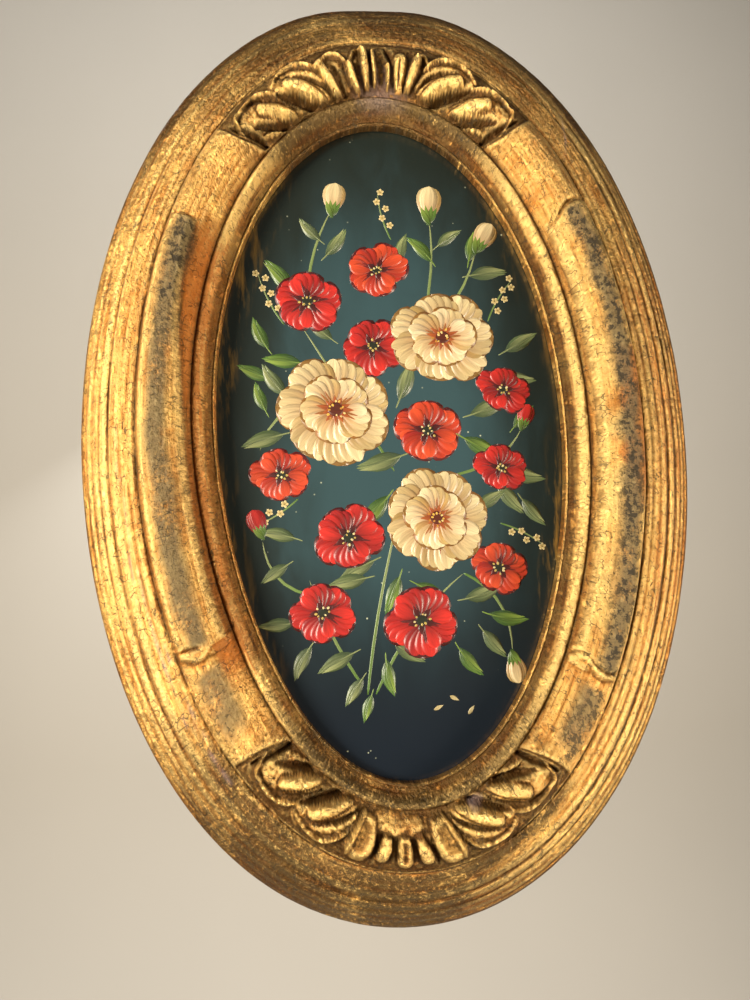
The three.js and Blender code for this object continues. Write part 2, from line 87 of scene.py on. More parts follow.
def smooth(low: float | Array, high: float | Array, x: float | Array) -> Array:
    """Rise smoothly from 0 at low to 1 at high."""
    share = np.clip((np.asarray(x) - low) / (high - low), 0, 1)
    return share * share * (3 - 2 * share)


def within(*edges: tuple[float, float, Array]) -> Array:
    """Multiply soft edges, each of which rises from 0 at its first number to 1 at its second."""
    return math.prod(smooth(low, high, x) for low, high, x in edges)


def peak(x: Array, middle: float, spread: float) -> Array:
    """Rise to 1 at the middle and fall off on both sides of it."""
    return np.exp(-((x - middle) / spread) ** 2)


def scale_of(size_mm: float | Triple, unit: float = MM) -> float | Triple:
    """Turn a pattern's real size into its scale.

    Args:
        size_mm: Size of its features, one for all axes or one for each, in millimetres.
        unit: Length of a millimetre in the pattern's own places: MM in metres, 1 in millimetres.

    Returns:
        Features per unit of length.
    """
    if isinstance(size_mm, tuple):
        return tuple(1 / (length * unit) for length in size_mm)
    return 1 / (size_mm * unit)


def add_node(tree: bpy.types.NodeTree, kind: str, inputs: dict[int | str, Any] | None = None,
             output: int | str = 0, **settings: Any) -> Socket:
    """Add a node with its settings, values and links.

    Args:
        tree: The node tree that gets the node.
        kind: Blender's name of the node type, without the word that they all start with.
        inputs: For each input, by name or number, a socket to link from or a plain value.
        output: Name or number of the output that is used.
        settings: Properties of the node itself.

    Returns:
        That output of the new node.
    """
    node = tree.nodes.new("ShaderNode" + kind)
    for name, value in settings.items():
        setattr(node, name, value)
    for key, value in (inputs or {}).items():
        if isinstance(value, Socket):
            tree.links.new(value, node.inputs[key])
        else:
            node.inputs[key].default_value = value
    return node.outputs[output]


# The words of a node table: for each the node's type, its inputs in the order of a row, the output that is
# used and its settings. Any other word is an operation of the Math node.
RANGE = ("Value", "From Min", "From Max", "To Min", "To Max")
NOISE = ("Vector", "Scale", "Detail", "Roughness", "Distortion")
NODE_WORDS: dict[str, tuple[str, tuple[int | str, ...], int | str, dict[str, str]]] = {
    "place": ("TexCoord", (), "Object", {}),
    "run": ("Attribute", (), "Vector", {"attribute_name": "run"}),
    "paint": ("Attribute", (), "Color", {"attribute_name": "paint"}),
    "stroke map": ("UVMap", (), 0, {"uv_map": "stroke"}),
    "normal": ("NewGeometry", (), "Normal", {}),
    "scaled": ("Mapping", ("Vector", "Scale", "Location"), 0, {}),
    "noise": ("TexNoise", NOISE, "Fac", {}),
    "noise colours": ("TexNoise", NOISE, "Color", {}),
    "ridges": ("TexNoise", NOISE, "Fac", {"noise_type": "RIDGED_MULTIFRACTAL"}),
    "cells": ("TexVoronoi", ("Vector", "Scale"), "Distance", {}),
    "cell colours": ("TexVoronoi", ("Vector", "Scale"), "Color", {}),
    "cell edges": ("TexVoronoi", ("Vector", "Scale"), "Distance", {"feature": "DISTANCE_TO_EDGE"}),
    "range": ("MapRange", RANGE, 0, {}),
    "step": ("MapRange", RANGE, 0, {"interpolation_type": "SMOOTHSTEP"}),
    "mix": ("Mix", (0, 6, 7), 2, {"data_type": "RGBA"}),
    "darken": ("Mix", (0, 6, 7), 2, {"data_type": "RGBA", "blend_type": "MULTIPLY"}),
    "tint": ("VectorMath", (0, 1), 0, {"operation": "MULTIPLY"}),
    "stretch": ("VectorMath", (0, 1, 2), 0, {"operation": "MULTIPLY_ADD"}),
    "unit": ("VectorMath", (0,), 0, {"operation": "NORMALIZE"}),
    "length": ("VectorMath", (0,), "Value", {"operation": "LENGTH"}),
    "x": ("SeparateXYZ", (0,), 0, {}),
    "y": ("SeparateXYZ", (0,), 1, {}),
    "z": ("SeparateXYZ", (0,), 2, {}),
    "bump": ("Bump", ("Strength", "Distance", "Height", "Normal"), 0, {}),
}


def new_material(name: str, attributes: tuple[str, ...], rows: tuple[tuple[Any, ...], ...],
                 surface: dict[str, Any]) -> bpy.types.Material:
    """Make a material from a table of nodes that ends in one principled surface.

    Args:
        name: Name of the real finish.
        attributes: Names of the mesh attributes whose values it reads.
        rows: For each node its own name, its word and its inputs; text is the name of an earlier node.
        surface: The surface's inputs; text is the name of a node.

    Returns:
        The material.
    """
    material = bpy.data.materials.new(name)
    material.use_nodes = True
    tree = material.node_tree
    tree.nodes.clear()
    made = {attribute: add_node(tree, "Attribute", None, "Fac", attribute_name=attribute)
            for attribute in attributes}
    for title, word, *values in rows:
        kind, keys, output, settings = NODE_WORDS.get(word, ("Math", (0, 1, 2), 0, {"operation": word}))
        values = [made[value] if isinstance(value, str) else value for value in values]
        made[title] = add_node(tree, kind, dict(zip(keys, values)), output, **settings)
    inputs = {key: made[value] if isinstance(value, str) else value for key, value in surface.items()}
    closed = add_node(tree, "BsdfPrincipled", inputs)
    tree.links.new(closed, tree.nodes.new("ShaderNodeOutputMaterial").inputs["Surface"])
    return material


class Lattice:
    """Smooth repeatable noise for shapes: random values on a grid, blended between its points."""

    SIDE = 64

    def __init__(self, seed: int) -> None:
        """Fill the grid from a seed."""
        self.values = np.random.default_rng(seed).uniform(-1, 1, (self.SIDE,) * 3)

    def at(self, points: Array, scale: float | Triple = 1.0) -> Array:
        """Read the noise.

        Args:
            points: Places, three numbers each.
            scale: Grid cells per unit, for all axes or for each.

        Returns:
            One value from -1 to 1 for each place.
        """
        places = points * np.asarray(scale)
        corner = np.floor(places).astype(int)
        share = places - corner
        share = share * share * (3 - 2 * share)
        total = np.zeros(len(points))
        for step in np.ndindex(2, 2, 2):
            weight = np.prod(np.where(step, share, 1 - share), axis=1)
            total += weight * self.values[tuple(((corner + step) % self.SIDE).T)]
        return total


@dataclass(frozen=True)
class Ring:
    """The frame's plan and section, in millimetres, as the construction has them."""

    length: float = 230.0
    width: float = 150.0
    fullness: float = 0.011
    lean_sway: float = 1.0
    lean_phase: float = math.radians(127)
    egg_sway: float = 0.6
    egg_phase: float = math.radians(-172)
    top_wear: float = 1.2
    top_wear_spread: float = math.radians(9)
    outer_member: float = 14.3
    mid_band: float = 13.0
    bead_width: float = 1.8
    cove_width: float = 2.6
    lip_width: float = 0.8
    rebate_width: float = 4.0
    hanger_inset: float = 12.0
    panel_front: float = 5.5
    shoulder_height: float = 5.8
    lip_height: float = 8.5
    lip_round: float = 0.3
    cove_rise: float = 4.2
    bead_drop: float = 0.6
    bead_fall: float = 0.3
    bead_fullness: float = 0.8
    cove_curve: float = 1.4
    lip_swell: float = 0.25
    crest_rise: float = 4.5
    groove_drop: float = 3.6
    shelf_rise: float = 0.7
    outer_fall: float = 7.0
    outer_curve: float = 1.9
    torus_skew: float = 0.8
    torus_fullness: float = 0.8  # a little softer than the facets have it
    back_chamfer: float = 1.0
    samples: int = 2880

    @property
    def band_end(self) -> float:
        """Inset of the mid band's inner edge."""
        return self.outer_member + self.mid_band

    @property
    def cove_inset(self) -> float:
        """Inset where the bead ends and the cove starts."""
        return self.band_end + self.bead_width

    @property
    def lip_inset(self) -> float:
        """Inset where the cove ends and the lip starts."""
        return self.cove_inset + self.cove_width

    @property
    def sight_inset(self) -> float:
        """Inset of the sight edge."""
        return self.lip_inset + self.lip_width

    @property
    def centre_z(self) -> float:
        """Height of the oval's centre; the hanger is at 0."""
        return self.hanger_inset - self.length / 2

    @property
    def bead_height(self) -> float:
        """Height of the bead's top above the back."""
        return self.lip_height + self.cove_rise

    @property
    def crest_share(self) -> float:
        """Where the mid band is highest, as a share of its width."""
        return 0.5 ** (1 / self.torus_skew)

    def place(self, angle: Array, inset: Array, height: Array) -> Array:
        """Give points of the ring.

        Args:
            angle: Clockwise from the top as seen from the front, in radians.
            inset: In from the outer edge.
            height: Forward from the back.

        Returns:
            One point for each, in millimetres.
        """
        inward = smooth(0, self.cove_inset, inset)
        sway = (self.lean_sway * np.cos(2 * angle + self.lean_phase)
                + self.egg_sway * np.cos(3 * angle + self.egg_phase))
        wear = self.top_wear * peak(angle, 0, self.top_wear_spread)
        depth = inset - sway * inward + wear * (1 - inward)
        full = 1 + self.fullness * (1 - inset / self.sight_inset) * np.sin(2 * angle) ** 2
        x = (self.width / 2 - depth) * full * np.sin(angle)
        z = self.centre_z + (self.length / 2 - depth) * full * np.cos(angle)
        return np.stack([x, -height * np.ones_like(x), z], axis=-1)

    @cached_property
    def crest_line(self) -> tuple[Array, Array]:
        """Angles from -180 to 180 degrees, and the distance along the crest line at each."""
        angles = np.linspace(-math.pi, math.pi, self.samples + 1)
        inset = self.outer_member + self.crest_share * self.mid_band
        points = self.place(angles, np.full_like(angles, inset), np.zeros_like(angles))
        along = np.concatenate([[0], np.cumsum(np.linalg.norm(np.diff(points, axis=0), axis=1))])
        return angles, along - along[self.samples // 2]

    @property
    def lap(self) -> float:
        """Length of the crest line."""
        return self.crest_line[1][-1] - self.crest_line[1][0]

    def angle_at(self, along: Array) -> Array:
        """Angle at a distance along the crest line from the top."""
        angles, distances = self.crest_line
        return np.interp(along, distances, angles)

    def from_bottom(self, along: Array) -> Array:
        """Distance along the crest line from the bottom, past it to the left counted positive."""
        distances = self.crest_line[1]
        return np.where(along > 0, along - distances[-1], along - distances[0])


class Tool(Enum):
    """What a carver's cut leaves behind."""

    MOUND = "mound"
    RIDGE = "ridge"
    GOUGE = "gouge"
    SCOOP = "scoop"


@dataclass(frozen=True)
class Cut:
    """One carved form along a curve: places are (along, inset) in millimetres."""

    tool: Tool
    start: Point
    bend: Point
    end: Point
    half_width: float
    depth: float
    segments: int = 14

    def mirrored(self) -> "Cut":
        """The same cut on the other side of the palmette's middle."""
        flip = [(-along, inset) for along, inset in (self.start, self.bend, self.end)]
        return Cut(self.tool, *flip, self.half_width, self.depth)

    def effect(self, along: Array, inset: Array) -> Array:
        """Height that the cut adds or takes.

        Args:
            along: Places along the band.
            inset: Places across it.

        Returns:
            The size of its effect at each place, never negative.
        """
        shares = np.linspace(0, 1, self.segments + 1)
        corners = [np.array(point) for point in (self.start, self.bend, self.end)]
        weights = ((1 - shares) ** 2, 2 * shares * (1 - shares), shares ** 2)
        path = sum(np.outer(weight, corner) for weight, corner in zip(weights, corners))
        low, high = path.min(0) - self.half_width, path.max(0) + self.half_width
        effect = np.zeros(along.shape)
        near = (along > low[0]) & (along < high[0]) & (inset > low[1]) & (inset < high[1])
        if not near.any():
            return effect
        places = np.stack([along[near], inset[near]], axis=-1)
        best = np.full(len(places), np.inf)
        travelled = np.zeros(len(places))
        for index in range(self.segments):
            step = path[index + 1] - path[index]
            share = np.clip(((places - path[index]) @ step) / (step @ step), 0, 1)
            distance = np.linalg.norm(places - path[index] - share[:, None] * step, axis=1)
            closer = distance < best
            best = np.where(closer, distance, best)
            travelled = np.where(closer, (index + share) / self.segments, travelled)
        effect[near] = self.depth * self._section(best, travelled)
        return effect

    def _section(self, distance: Array, travelled: Array) -> Array:
        """Section of the cut, from 1 on its middle line to 0 at its edge."""
        if self.tool is Tool.MOUND:
            reach = self.half_width * (0.62 + 0.38 * smooth(0, 0.6, travelled))
            across = np.clip(distance / reach, 0, 1)
            return (1 - across ** 2.6) ** 0.8 * smooth(0, 0.16, travelled + 0.04)
        if self.tool is Tool.SCOOP:
            across = np.clip(distance / self.half_width, 0, 1)
            return (1 - across ** 2) * smooth(0, 0.3, travelled + 0.06)
        taper = np.sin(math.pi * (0.08 + 0.84 * travelled)) ** 0.5
        across = np.clip(distance / (self.half_width * taper), 0, 1)
        if self.tool is Tool.RIDGE:
            return np.cos(across * math.pi / 2) ** 2 * taper
        return (1 - across) ** 1.25 * taper


# One side of both palmettes, from the middle outwards: two leaves, each a long bean in a hooded shell
SIDE_CUTS = (
    Cut(Tool.MOUND, (12.4, 26.0), (16.5, 20.8), (24.4, 18.6), 3.2, 0.8),
    Cut(Tool.MOUND, (13.8, 26.9), (17.4, 23.6), (22.8, 20.5), 1.6, 2.5),
    Cut(Tool.GOUGE, (12.4, 25.2), (15.4, 21.5), (21.8, 18.7), 0.9, 1.5),
    Cut(Tool.RIDGE, (13.4, 21.0), (19.2, 13.2), (26.9, 18.4), 1.0, 1.9),
    Cut(Tool.GOUGE, (16.3, 27.3), (20.8, 24.6), (26.4, 20.4), 1.15, 2.4),
    Cut(Tool.MOUND, (24.0, 25.6), (29.0, 21.6), (37.0, 20.4), 3.0, 0.7),
    Cut(Tool.MOUND, (23.3, 26.9), (27.0, 24.0), (31.9, 20.9), 1.5, 2.3),
    Cut(Tool.GOUGE, (22.6, 24.8), (25.6, 22.0), (30.4, 19.2), 0.8, 1.4),
    Cut(Tool.RIDGE, (26.6, 20.2), (32.2, 15.0), (39.2, 18.4), 0.9, 1.7),
    Cut(Tool.GOUGE, (25.6, 27.4), (29.8, 25.0), (36.0, 22.4), 1.05, 2.1),
    Cut(Tool.RIDGE, (28.6, 26.9), (31.4, 26.0), (34.8, 25.2), 0.9, 1.3),
    Cut(Tool.RIDGE, (37.0, 17.4), (39.8, 17.4), (39.0, 21.6), 0.8, 1.9),
    Cut(Tool.GOUGE, (40.4, 18.4), (37.6, 23.2), (34.8, 27.0), 1.1, 2.0),
)

# The middle of the bottom palmette: half of it, then the short lobe on its axis and the plain ground
BOTTOM_CUTS = (
    Cut(Tool.MOUND, (8.4, 25.8), (9.2, 21.8), (11.0, 18.8), 3.2, 2.1),
    Cut(Tool.SCOOP, (8.8, 25.0), (9.4, 21.8), (10.6, 19.4), 1.7, 0.7),
    Cut(Tool.RIDGE, (10.0, 26.0), (12.6, 22.0), (13.2, 16.4), 1.0, 2.4),
    Cut(Tool.MOUND, (3.8, 22.6), (4.5, 20.4), (5.2, 18.2), 1.4, 1.7),
    Cut(Tool.GOUGE, (6.6, 22.6), (6.8, 19.6), (7.4, 16.4), 0.8, 0.8),
)
BOTTOM_MIDDLE = (
    Cut(Tool.MOUND, (0.0, 23.2), (0.0, 20.6), (0.0, 18.0), 2.0, 2.1),
    Cut(Tool.SCOOP, (0.0, 22.4), (0.0, 20.4), (0.0, 18.4), 1.1, 1.0),
    Cut(Tool.MOUND, (-5.0, 25.6), (0.0, 24.6), (5.0, 25.6), 3.0, 0.8),
)

# The middle of the top palmette, from left to right: close, narrow ribs of uneven length
TOP_MIDDLE = (
    Cut(Tool.MOUND, (-9.4, 27.0), (-12.6, 23.2), (-13.3, 19.6), 1.4, 2.3),
    Cut(Tool.MOUND, (-3.5, 27.0), (-5.4, 24.6), (-6.2, 21.4), 1.1, 2.1),
    Cut(Tool.MOUND, (-1.5, 26.2), (-2.0, 22.2), (-2.3, 18.0), 1.1, 2.4),
    Cut(Tool.MOUND, (0.3, 25.6), (0.3, 22.2), (0.2, 18.8), 0.7, 1.9),
    Cut(Tool.MOUND, (4.1, 26.2), (4.0, 24.2), (4.0, 22.0), 0.7, 1.9),
    Cut(Tool.MOUND, (7.5, 27.0), (7.0, 23.4), (7.4, 20.0), 1.7, 1.4),
    Cut(Tool.GOUGE, (7.3, 26.6), (7.0, 23.4), (7.3, 20.2), 0.6, 0.6),
    Cut(Tool.MOUND, (9.3, 26.6), (10.2, 23.2), (11.3, 19.4), 1.15, 2.4),
    Cut(Tool.RIDGE, (-13.2, 19.8), (-10.2, 14.6), (-6.6, 20.8), 0.8, 1.2),
    Cut(Tool.RIDGE, (-6.0, 20.6), (-4.2, 16.0), (-2.4, 18.8), 0.7, 1.1),
    Cut(Tool.RIDGE, (11.0, 19.2), (12.8, 16.0), (14.6, 21.0), 0.8, 1.3),
    Cut(Tool.GOUGE, (3.6, 17.0), (5.0, 19.0), (5.4, 21.4), 1.2, 1.4),
    Cut(Tool.GOUGE, (-8.2, 26.6), (-9.6, 23.0), (-10.4, 20.2), 1.1, 1.0),
)

# Creases where the side bars end, at places along the crest line from the top, left negative
BAR_CREASES = (
    Cut(Tool.GOUGE, (63.9, 14.9), (58.8, 20.4), (66.9, 26.6), 0.55, 0.7),
    Cut(Tool.GOUGE, (176.6, 15.0), (180.6, 18.6), (178.0, 22.4), 0.6, 0.9),
    Cut(Tool.GOUGE, (178.0, 22.2), (175.6, 25.4), (180.0, 26.8), 0.5, 0.7),
    Cut(Tool.RIDGE, (176.4, 24.8), (176.4, 26.4), (178.4, 26.6), 0.7, 0.4),
    Cut(Tool.GOUGE, (-168.6, 15.2), (-168.8, 17.8), (-169.8, 20.6), 0.7, 1.1),
    Cut(Tool.GOUGE, (-66.0, 21.2), (-69.4, 17.6), (-66.0, 14.8), 0.5, 0.6),
)


@dataclass(frozen=True)
class Bar:
    """A raised side bar: its side, its gaps to the palmettes, its taper, its knuckle and its worn crest."""

    side: int
    upper_gap: float
    lower_gap: float
    taper: float
    knuckle: float
    crest: float


@dataclass(frozen=True)
class Zone:
    """A soft-edged part of the face, in millimetres along the crest line and in from the outer edge.

    Each of its edges is a pair: where it starts to show, and where it is full.
    """

    start: Point
    finish: Point
    across: Point
    strength: float = 1.0
    at_bottom: bool = False  # counted along from the bottom, not from the top

    def share(self, along: Array, from_bottom: Array, inset: Array) -> Array:
        """How strong it is at each place."""
        run = from_bottom if self.at_bottom else along
        return self.strength * within((*self.start, run), (*self.finish, run), (*self.across, inset))


# Where one part of the frame gets painted shade besides real toning and dirt (toned, hollow, below), and
# where red bole shows, which on the right is also a painted warm reflection
WEAR_ZONES = {
    "toned_and_shade": (Zone((-62, -20), (62, 20), (16, 12), 0.6), Zone((-50, -20), (54, 24), (25.6, 27.6)),
              Zone((-60, -30), (60, 30), (25, 28), 0.75, True), Zone((-75, -45), (75, 45), (4.2, 2.2))),
    "hollow": (Zone((-30, -12), (30, 12), (27.3, 28.3), 0.7),),
    "bole": (Zone((60, 90), (215, 150), (14, 9), 0.62),),
    "below": (Zone((-32, 4), (70, 34), (17, 12), at_bottom=True),),
}
# Red bole on the right bar's outer half, also a painted warm reflection on that slope
RIGHT_EDGE = Zone((96, 104), (150, 128), (22.36, 19.5), 0.95)

# Cracks with filler in them, and a mended chip
CRACKS = (
    Cut(Tool.RIDGE, (-182, 10.6), (-165, 12.0), (-147, 11.2), 0.45, 0.8),
    Cut(Tool.RIDGE, (-160, 9.2), (-140, 11.6), (-118, 9.4), 0.45, 0.8),
    Cut(Tool.RIDGE, (-200, 12.4), (-180, 12.0), (-165, 13.2), 0.45, 0.8),
    Cut(Tool.RIDGE, (45, 5.0), (49, 8.0), (53, 13.0), 0.45, 0.8),
)
MENDED_CHIP = Cut(Tool.MOUND, (-259, 25.0), (-258, 25.5), (-256, 25.6), 1.5, 1.0)
NOWHERE = 99.0  # further past a bar's edge than any place is


@dataclass(frozen=True)
class Layout:
    """Where each vertex of the frame is: on the crest line, across the face and in the mesh's grid."""

    along: Array
    inset: Array
    height: Array
    relief: Array
    run: Array
    row: Array
    column: Array
    forward: Array

    def bulge(self) -> Array:
        """How far each vertex of the face stands above the average of those around it."""
        row, column = self.row[self.forward], self.column[self.forward]
        grid = np.zeros((self.column.max() + 1, row.max() + 1))
        grid[column, row] = self.height[self.forward]
        blurred = grid
        for _ in range(3):
            blurred = (blurred + np.roll(blurred, 1, 0) + np.roll(blurred, -1, 0)) / 3
            sides = np.concatenate([blurred[:, :1], blurred, blurred[:, -1:]], axis=1)
            blurred = (sides[:, :-2] + sides[:, 1:-1] + sides[:, 2:]) / 3
        bulge = np.zeros(len(self.row))
        bulge[self.forward] = (grid - blurred)[column, row]
        return bulge


@dataclass(frozen=True)
class GoldLeaf:
    """Water-gilded leaf on red bole and gesso, rubbed and toned.

    To the eye: a crinkled, glittering and broken metal skin, red where it is thin and brown in its hollows.
    Painted shade darkens its hollows, coves and lower slopes, painted highlights lighten its raised parts,
    and painted reflections make slopes that face right orange, the bars' flat tops grey and the top flutes
    lavender.
    """

    leaf_light: str = "F9C770"
    leaf_deep: str = "C8853C"
    # paler gold for burnished wear, also a painted highlight on raised parts
    leaf_burnished_highlight: str = "FFDC8C"
    # red bole, also a painted warm reflection on slopes that face right
    bole: str = "C46C20"
    # grey of worn crests, also a painted dull reflection of the bars' flat tops
    worn_grey_and_dull_reflection: str = "696045"
    speck: str = "352D1E"
    # dark brown of dirt, also painted shade
    grime_and_shade: str = "2C1B0B"
    # grey-lavender filler, also a painted reflection in the top flutes
    filler: str = "958587"
    grit_mm: float = 0.7  # grain of the gesso that shows through the leaf
    wrinkle_mm: Triple = (2.4, 2.4, 1.5)  # between the wrinkles of the leaf
    comb_mm: Triple = (13.0, 13.0, 0.7)  # length and width of the streaks along the moulding
    mark_mm: float = 1.5  # between the short cracks in the gesso
    mark_wander_mm: float = 2.1
    mark_patch_mm: float = 2.2
    chip_mm: float = 1.7
    pit_mm: float = 0.75
    facet_mm: float = 0.65  # facets of the crinkled leaf, coarser than real so that they show
    facet_tilt: float = 0.5
    patch_mm: float = 8.0  # how broadly the leaf's tone varies
    wrinkle_depth: float = 0.3
    grit_depth: float = 0.6
    comb_depth: float = 0.32
    chip_depth: float = 0.18

    def build(self) -> bpy.types.Material:
        """Make the material; it reads the frame's own attributes, whose run is in millimetres."""
        grey = (0.5, 0.5, 0.5, 1.0)
        attributes = ("hollow", "rubbed_and_highlight", "bole", "bar_crest", "speckled", "toned_and_shade", "combed", "filler")
        rows = (
            ("run", "run"),
            ("grit", "noise", "run", scale_of(self.grit_mm, 1), 4.0, 0.68),
            ("wrinkle places", "scaled", "run", scale_of(self.wrinkle_mm, 1)),
            ("wrinkle", "ridges", "wrinkle places", 1.0, 4.0, 0.6),
            ("comb places", "scaled", "run", scale_of(self.comb_mm, 1)),
            ("streaks", "noise", "comb places", 1.0, 4.0, 0.55),
            ("comb", "mix", "combed", grey, "streaks"),
            ("patch", "noise", "run", scale_of(self.patch_mm, 1), 3.0, 0.55),

            # Short cracks, in patches
            ("wander", "noise", "run", scale_of(self.mark_wander_mm, 1), 2.0, 0.55),
            ("mark places", "stretch", "run", (scale_of(self.mark_mm, 1),) * 3, "wander"),
            ("mark gap", "cell edges", "mark places", 1.0),
            ("mark line", "step", "mark gap", 0.07, 0.015),
            ("mark patch", "noise", "run", scale_of(self.mark_patch_mm, 1), 3.0, 0.55),
            ("mark here", "step", "mark patch", 0.5, 0.6),
            ("mark", "MULTIPLY", "mark line", "mark here"),

            # Leaf, burnished where it is rubbed, with a painted highlight on raised parts and along the right
            # bar, and red where it is thin and where a warm reflection is painted
            ("patch half", "MULTIPLY", "patch", 0.5),
            ("tone", "MULTIPLY_ADD", "comb", 0.7, "patch half"),
            ("lit", "step", "tone", 0.46, 0.76),
            ("gold", "mix", "lit", linear(self.leaf_deep), linear(self.leaf_light)),
            ("burnish", "MULTIPLY", "rubbed_and_highlight", 0.8),
            ("burnished", "mix", "burnish", "gold", linear(self.leaf_burnished_highlight)),
            ("streaked bole", "MULTIPLY_ADD", "comb", 1.6, "bole"),
            ("thin", "MULTIPLY_ADD", "grit", 0.9, "streaked bole"),
            ("worn", "step", "thin", 1.6, 2.2),
            ("worn share", "MULTIPLY", "worn", 0.8),
            ("reddened", "mix", "worn share", "burnished", linear(self.bole)),

            # Grey worn crests, partly a painted dull reflection of the bars' flat tops, and dark specks
            ("uneven", "ADD", "patch", "grit"),
            ("uneven step", "step", "uneven", 0.55, 0.95),
            ("grey", "MULTIPLY", "bar_crest", "uneven step"),
            ("grey share", "MULTIPLY", "grey", 0.88),
            ("greyed", "mix", "grey share", "reddened", linear(self.worn_grey_and_dull_reflection)),
            ("chips", "noise", "run", scale_of(self.chip_mm, 1), 6.0, 0.72),
            ("chip", "step", "chips", 0.51, 0.55),
            ("speck", "MULTIPLY", "speckled", "chip"),
            ("pits", "noise", "run", scale_of(self.pit_mm, 1), 3.0, 0.6),
            ("pit", "step", "pits", 0.6, 0.68, 0.0, 0.6),
            ("dark mark", "MULTIPLY", "mark", 0.75),
            ("dark lines", "MAXIMUM", "speck", "dark mark"),
            ("dark", "MAXIMUM", "dark lines", "pit"),

            # Dirt in the grain, the streaks and the wrinkles, and dirt in the hollows together with painted
            # shade in the hollows, the coves and on the lower slopes
            ("grain dirt", "step", "grit", 0.46, 0.28, 0.0, 0.7),
            ("streak dirt", "step", "comb", 0.45, 0.32, 0.0, 0.55),
            ("wrinkle dirt", "step", "wrinkle", 0.4, 0.12, 0.0, 0.35),
            ("grain and streaks", "MAXIMUM", "grain dirt", "streak dirt"),
            ("fine dirt", "MAXIMUM", "grain and streaks", "wrinkle dirt"),
            # Dark spots where the leaf is toned, which also paint shade
            ("spots", "step", "grit", 0.7, 0.48, 0.4, 1.1),
            ("spotted_tone_and_shade", "MULTIPLY", "toned_and_shade", "spots"),
            ("hollow dirt", "MULTIPLY", "hollow", 0.95),
            ("deep dirt", "MAXIMUM", "hollow dirt", "spotted_tone_and_shade"),
            ("all dirt", "ADD", "fine dirt", "deep dirt"),
            ("dirt", "MINIMUM", "all dirt", 1.0),
            ("dirt share", "MULTIPLY", "dirt", 0.9),
            ("grimy_and_shaded", "mix", "dirt share", "greyed", linear(self.grime_and_shade)),
            ("specked", "mix", "dark", "grimy_and_shaded", linear(self.speck)),
            ("filler share", "MULTIPLY", "filler", 0.8),
            ("colour", "mix", "filler share", "specked", linear(self.filler)),

            # Where it is dull
            ("dirt dull", "MULTIPLY", "dirt", 0.35),
            ("worn dull", "MULTIPLY", "worn", 0.55),
            ("grey dull", "MULTIPLY", "grey", 0.8),
            ("dull spots", "MAXIMUM", "dark", "dirt dull"),
            ("dull patches", "MAXIMUM", "worn dull", "filler"),
            ("dull leaf", "MAXIMUM", "dull spots", "dull patches"),
            ("dull", "MAXIMUM", "dull leaf", "grey dull"),
            ("metallic", "SUBTRACT", 1.0, "dull"),
            ("gritty", "MULTIPLY", "grit", 0.4),
            ("matt", "MULTIPLY_ADD", "dull", 0.6, "gritty"),
            ("roughness", "range", "matt", 0.0, 1.0, 0.22, 0.66),

            # Facets of the crinkled leaf, and what lies under it
            ("facet", "cell colours", "run", scale_of(self.facet_mm, 1)),
            ("aside", "stretch", "facet", (self.facet_tilt,) * 3, (-self.facet_tilt / 2,) * 3),
            ("normal", "normal"),
            ("leaning", "stretch", "aside", (1.0,) * 3, "normal"),
            ("turned", "unit", "leaning"),
            ("crinkles", "bump", 1.0, self.wrinkle_depth * MM, "wrinkle", "turned"),
            ("grains", "bump", 1.0, self.grit_depth * MM, "grit", "crinkles"),
            ("combed grains", "bump", 1.0, self.comb_depth * MM, "comb", "grains"),
            ("whole", "SUBTRACT", 1.0, "dark"),
            ("broken", "bump", 0.8, self.chip_depth * MM, "whole", "combed grains"),
        )
        return new_material("water_gilt_leaf_on_bole", attributes, rows, {
            "Base Color": "colour", "Metallic": "metallic", "Roughness": "roughness",
            "Specular IOR Level": 0.2, "Normal": "broken"})


@dataclass(frozen=True)
class StainedPoplar:
    """Sawn poplar with a thin brown wash, on the back.

    To the eye: dull, straight grain with darker late wood.
    """

    pale: str = "9A7448"
    dark: str = "5B3D22"
    ring_mm: Triple = (2.4, 4.0, 45.45)  # growth rings, across, through and along the board
    fibre_mm: Triple = (0.3846, 0.3846, 16.67)  # open pores, coarser than real so that they show
    fibre_depth: float = 0.12

    def build(self) -> bpy.types.Material:
        """Make the material, with the grain running up the board."""
        rows = (
            ("place", "place"),
            ("board", "scaled", "place", scale_of(self.ring_mm)),
            ("grain", "noise", "board", 1.0, 5.0, 0.6, 0.4),
            ("fibre", "scaled", "place", scale_of(self.fibre_mm)),
            ("fine", "noise", "fibre", 1.0, 3.0),
            ("fine colours", "noise colours", "fibre", 1.0, 3.0),
            ("late wood", "range", "grain", 0.36, 0.66),
            ("wood", "mix", "late wood", linear(self.dark), linear(self.pale)),
            ("worn", "darken", 0.25, "wood", "fine colours"),
            ("bump", "bump", 0.5, self.fibre_depth * MM, "fine"),
        )
        return new_material("sawn_poplar_with_wash", (), rows, {
            "Base Color": "worn", "Roughness": 0.78, "Normal": "bump"})


